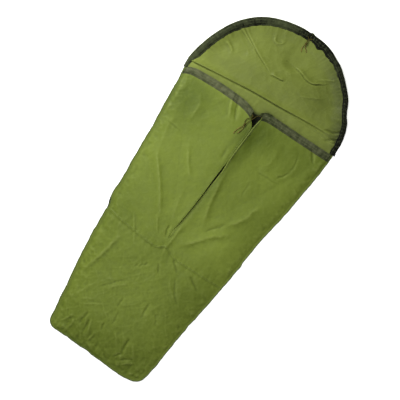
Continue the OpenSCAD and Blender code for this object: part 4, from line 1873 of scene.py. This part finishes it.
@dataclass(kw_only=True)
class HoodCasing(Casing):
    """The dark tape casing along one half of the hood's edge."""

    side: Side
    tail: float = 58.0
    tail_skew: float = 4.0
    bridge: float = 0.6
    length: float = 800.0
    steps: int = 300
    bent: float = 0.94
    cord_sunk: float = 1.2
    TAPES: ClassVar[dict[Side, RimTape]] = {
        Side.LEFT: RimTape(narrowed=24.0, start=690.0, over=100.0, slack=4.0, top_slack=0.0),
        Side.RIGHT: RimTape(narrowed=14.0, start=0.0, over=420.0, slack=3.0, top_slack=6.0)}
    # Lightness along the rim's run: part fading, part painted light and shade.
    greyed_and_shaded: Curve = (
        (-520, 0.70), (-474, 0.74), (-427, 0.54), (-339, 0.32), (-282, 0.24), (-217, 0.66),
        (-148, 0.68), (-75, 0.30), (0, -0.08), (75, -0.22), (148, 0.0), (217, 0.24), (282, 0.0),
        (339, -0.14), (430, -0.28), (520, -0.24))

    def faded(self, x: Array, y: Array) -> Array:
        """The rim's tape is lighter at the left, partly sun fading and partly painted light, and black at the
        right as painted shade.
        """
        return eased(x, self.greyed_and_shaded) + 0 * y

    def places(self, ring: Array) -> tuple[Array, Array]:
        """Runs round the hood's edge from its top to the corner of the mouth.

        Args:
            ring: Share of the way out from the hood's middle.

        Returns:
            Places across and along the cut.
        """
        cut = self.cut
        top_angle = math.acos(self.bridge / cut.hood_half)
        bend = int(self.steps * self.bent)
        rest = self.steps - bend
        angle = np.concatenate([np.linspace(top_angle, 0, bend), np.zeros(rest)])[:, None]
        tail = self.tail + self.tail_skew * self.side.value
        down = np.concatenate([np.zeros(bend), np.linspace(0, tail, rest + 1)[1:]])[:, None]
        x = self.side.value * ring * cut.hood_half * np.cos(angle)
        return x, cut.hood_y + ring * cut.hood_depth * np.sin(angle) - down

    def build(self) -> None:
        """Makes the tape and the cord in it."""
        cut, s, word, tape = self.cut, self.side.value, self.side.word, self.TAPES[self.side]
        carry = hood_carry(cut)
        run, over = np.meshgrid(np.linspace(0, self.length, self.steps), np.linspace(0, 1, self.columns),
                                indexing="ij")
        loose = Bumps(1.0, 40, 5.0 + s, (1.0, 6.0)).at(run, over)
        wide = cut.tape - tape.narrowed * rising(run, tape.start, tape.over)
        slack = tape.slack + tape.top_slack * falling(run, end=320, over=150)
        rings = 1 - (1 + wide * (1 - over) + slack * loose * (1 - over)) / cut.hood_depth
        self.sew(f"{word}_hood_tape", self.places(rings), self.lie.hood, carry, f"{word}_hood_casing",
                 "hood_tape", self.cabinet.rim, turned=s > 0, seed=11.0 + s, closed_to=cut.cord_exit - 2)
        x, y = (place[:, 0] for place in self.places(1 - (1 + wide[:, :1] / 2) / cut.hood_depth))
        inside = (np.abs(x) > cut.cord_exit) & (y > cut.hood_y + 4)
        line = self.lie.hood(x[inside], y[inside]) + (0, 0, cut.cord / 2 - self.cord_sunk)
        self.lay_cord(f"{word}_hood_inner_cord", line, carry, f"{word}_hood_cord")


@dataclass
class Hood(SubAssembly):
    """The half-moon hood: a shallow bowl of cloth that lies open."""

    rings: int = 150
    spokes: int = 340
    first_ring: float = 0.004
    lap: float = 0.4
    thickness: float = 0.9
    clear: float = 0.2
    rim_shade: float = 0.30

    def faded(self, x: Array, y: Array) -> Array:
        """The cloth is darker next to the rim at the right, where the bowl turns from the light.

        Args:
            x: Places across, as laid.
            y: Places along, as laid.

        Returns:
            How faded the hood is.
        """
        cut = self.cut
        skewed = 0.7 * self.lie.skew * x / cut.hood_half
        ring = cut.hood_ring(x, y - cut.hood_y - skewed)
        shade = rising(ring, start=0.74, over=0.14) * rising(x, start=40, over=240)
        return self.lie.faded(x, y) - self.rim_shade * shade

    def build(self) -> None:
        """Makes the hood's sheet."""
        cut = self.cut
        depth = cut.hood_depth
        ring, angle = np.meshgrid(np.linspace(self.first_ring, 1, self.rings),
                                  np.linspace(np.pi, 0, self.spokes), indexing="ij")
        x = ring * cut.hood_half * np.cos(angle)
        y = cut.hood_y - self.lap + ring * (depth + self.lap) * np.sin(angle)
        inside = self.lie.hood(x, y)
        outside = inside.copy()
        outside[..., 2] = np.maximum(inside[..., 2] - self.thickness, self.clear)
        piece = shell("hood_cloth", inside, outside, np.stack([x, y], -1))
        self.fit(piece, hood_carry(cut), ("hood_panel",), "hood_cloth",
                 self.cabinet.inside, self.cabinet.face)


@dataclass(kw_only=True)
class DrawCord(SubAssembly):
    """A draw cord: two strands that leave their casings, one knot and two tails."""

    name: str
    parent: str
    surface: Surface
    line_y: float
    knot_place: Point
    routes: tuple[tuple[Spot, ...], ...]
    knot_radius: float = 4.1
    knot_length: float = 15.0
    knot_turns: float = 3.3
    knot_flatness: float = 0.86
    knot_lift: float = 2.2
    knot_points: int = 150
    knot_sides: int = 10
    strand_sides: int = 12
    clear: float = 0.3
    step: float = 1.5

    def faded(self, x: Array, y: Array) -> Array:
        """The cord is darker from the casings to the knot, in part its own colour and in part painted shade
        over the mouth's gap, and pale at its tails.
        """
        return rising(self.line_y - y - self.knot_place[1], start=-6, over=44) + 0 * x

    def path(self, route: tuple[Spot, ...]) -> Array:
        """Runs one smooth line through a route's points.

        Args:
            route: Across, back from the casing and rise over the cloth, in millimetres.

        Returns:
            The line's points, in millimetres.
        """
        x, back, rise = np.array(route).T
        y = self.line_y - back
        z = self.surface(x, y)[:, 2] + self.cut.cord / 2 + self.clear + rise
        return even_line(smooth_line(np.stack([x, y, z], axis=1), 200), self.step)

    def build(self) -> None:
        end = f"{self.name}_cord_end"
        knot = self.tie_knot(end)
        for side, route in zip(Side, self.routes):
            line = self.path(route)
            fibres = 1 + 0.02 * np.sin(np.arange(len(line)) * 1.1)
            thick = self.cut.cord / 2 * fibres
            strand = tube(f"{side.word}_{self.name}_strand", line, thick, self.strand_sides)
            last = (self.knot_place[0], self.line_y - self.knot_place[1] + 10, line[0, 2])
            carry = Carried(self.parent, end, tuple(line[0]), last)
            nodes = (f"{self.name}_cord_strands", f"{self.name}_cord_tails")
            self.fit(strand, carry, nodes, "cord", self.cabinet.cord)
            self.cut.cord * MM

    def tie_knot(self, body: str) -> Object:
        """Makes the overhand knot: turns of cord round both strands and one turn that locks them.

        Args:
            body: The body that carries the knot.

        Returns:
            The knot.
        """
        x, back = self.knot_place
        y, near = self.line_y - back, 8
        spots = self.surface(np.full(3, x), np.array([y - near, y, y + near]))
        behind, under, ahead = spots[:, 2]
        pitch = math.atan2(ahead - behind, 2 * near)
        t = np.linspace(0, 1, self.knot_points)
        turn = t * 2 * np.pi * self.knot_turns
        lock = hump(t, middle=0.5, reach=0.16)
        r = self.knot_radius * (1 - 0.25 * (2 * t - 1) ** 4) + lock
        along = (t - 0.5) * (self.knot_length - self.cut.cord) + 1.6 * np.sin(turn * 0.5 + 0.6) * lock
        side, up = r * np.cos(turn), r * np.sin(turn) * self.knot_flatness
        middle = under + self.knot_radius + self.knot_lift
        line = np.stack([x + side, y + along * math.cos(pitch) - up * math.sin(pitch),
                         middle + up * math.cos(pitch) + along * math.sin(pitch)], axis=1)
        knot = tube(f"{self.name}_overhand_knot", line, self.cut.cord / 2, self.knot_sides)
        return self.fit(knot, Carried(body), (f"{self.name}_knot",), "cord", self.cabinet.cord)


@dataclass
class Studio:
    """The pale floor, soft light and camera straight above, turned as in the photo."""

    turn: float = 34.524
    height: float = 6.5
    seen: float = 2.268
    aim: Point = (0.006, -0.030)
    air_light: float = 0.12
    floor_half: float = 9.0
    floor_colour: Colour = (0.9, 0.9, 0.9, 1)
    floor_roughness: float = 0.9
    floor_glow: float = 0.7
    white: Colour = (1, 1, 1, 1)

    def build(self) -> None:
        """Makes the floor, the lights and the camera."""
        scene = bpy.context.scene
        self.lay_floor()
        self.hang_light("key_light", (-2.2, 1.25, 2.0), size=1.2, power=88)
        self.hang_light("top_light", (-0.4, -0.4, 4.0), size=2.4, power=58)
        scene.world = bpy.data.worlds.new("studio_air")
        scene.world.use_nodes = True
        air = scene.world.node_tree.nodes["Background"]
        air.inputs["Color"].default_value = self.white
        air.inputs["Strength"].default_value = self.air_light
        scene.view_settings.view_transform = "Standard"
        lens = bpy.data.cameras.new("camera")
        lens.lens = lens.sensor_width * self.height / self.seen
        camera = bpy.data.objects.new("camera", lens)
        camera.location = (*self.aim, self.height)
        camera.rotation_euler = (0, 0, math.radians(self.turn))
        scene.collection.objects.link(camera)
        scene.camera = camera

    def lay_floor(self) -> None:
        """Makes the floor."""
        h = self.floor_half
        mesh = bpy.data.meshes.new("floor")
        mesh.from_pydata([(-h, -h, 0), (h, -h, 0), (h, h, 0), (-h, h, 0)], [], [(0, 1, 2, 3)])
        paint = bpy.data.materials.new("pale_floor")
        paint.use_nodes = True
        shader = paint.node_tree.nodes["Principled BSDF"]
        shader.inputs["Base Color"].default_value = self.floor_colour
        shader.inputs["Roughness"].default_value = self.floor_roughness
        shader.inputs["Emission Color"].default_value = self.white
        shader.inputs["Emission Strength"].default_value = self.floor_glow
        mesh.materials.append(paint)
        floor = bpy.data.objects.new("floor", mesh)
        bpy.context.scene.collection.objects.link(floor)

    @staticmethod
    def hang_light(name: str, place: Spot, size: float, power: float) -> None:
        """Hangs a square soft light that points at the middle of the sack.

        Args:
            name: The light's name.
            place: Where it hangs, in metres.
            size: The length of its sides.
            power: Its power in watts.
        """
        lamp = bpy.data.lights.new(name, "AREA")
        lamp.size, lamp.energy = size, power
        light = bpy.data.objects.new(name, lamp)
        light.location = place
        light.rotation_euler = (Vector((0, 0.1, 0)) - Vector(place)).to_track_quat("-Z", "Y").to_euler()
        bpy.context.scene.collection.objects.link(light)


def draw_cords(lie: Lie, cabinet: Cabinet) -> list[DrawCord]:
    """Plans both draw cords, with their routes as across, back from the casing and rise.

    Args:
        lie: How the cloth lies.
        cabinet: The finished materials.

    Returns:
        The mouth's cord and the hood's, not yet built.
    """
    cut = lie.cut
    mouth = DrawCord(
        lie, cabinet, name="mouth", parent="left_flap", surface=lie.front,
        line_y=cut.hem_y - cut.tape / 2, knot_place=(-28, 92),
        routes=(
            ((-28, 20, 0), (-21, 22, 1), (-15, 28, 3), (-18, 38, 4), (-28, 48, 3), (-37, 62, 2), (-36, 76, 3),
             (-31, 86, 4), (-30, 92, 4), (-31, 101.6, 4), (-38, 117, 0), (-46, 134, 0), (-51, 152, 0),
             (-52, 167, 0)),
            ((27, 4, 0), (18, 5, 1), (9, 9, 3), (2, 17, 5), (-3, 29, 5), (-10, 45, 4), (-18, 64, 3),
             (-24, 82.4, 4), (-26, 92, 4), (-25, 101.6, 4), (-24, 120, 0), (-28, 139, 0), (-36, 156, 0))))
    ring = 1 - (1 + cut.tape / 2) / cut.hood_depth
    angle = math.acos(cut.cord_exit / (ring * cut.hood_half))
    hood = DrawCord(
        lie, cabinet, name="hood", parent="hood", surface=lie.hood,
        line_y=cut.hood_y + ring * cut.hood_depth * math.sin(angle), knot_place=(0, 40),
        routes=(
            ((-16, 0, 0), (-11, 0, 0), (-5, 7, 0), (-4, 17, 0), (-3, 30.4, 4), (-3, 40, 4), (-3, 49.6, 4),
             (-6, 62, 0), (-4, 76, 0), (2, 88, 0)),
            ((16, 0, 0), (11, 0, 0), (5, 7, 0), (4, 17, 0), (3, 30.4, 4), (3, 40, 4), (3, 49.6, 4),
             (10, 60, 0), (20, 66, 0), (28, 76, 0))))
    return [mouth, hood]


def main() -> None:
    """Builds the studio and then the sack, and reports each piece."""
    logging.basicConfig(level=logging.INFO, format="%(message)s")
    lie = Lie(Cut.from_frame())
    cabinet = Cabinet.stocked()
    Studio().build()
    parts: list[SubAssembly] = [*draw_cords(lie, cabinet), BagBase(lie, cabinet), LowerFront(lie, cabinet)]
    parts += [UpperFront(lie, cabinet, side=side) for side in Side]
    parts += [SeamWork(lie, cabinet), Hood(lie, cabinet)]
    parts += [kind(lie, cabinet, side=side) for side in Side for kind in (MouthCasing, HoodCasing)]
    for part in parts:
        part.build()
        for piece in part.pieces:
            LOG.info("%s: %d faces", piece.name, len(piece.data.polygons))


if __name__ == "__main__":
    main()
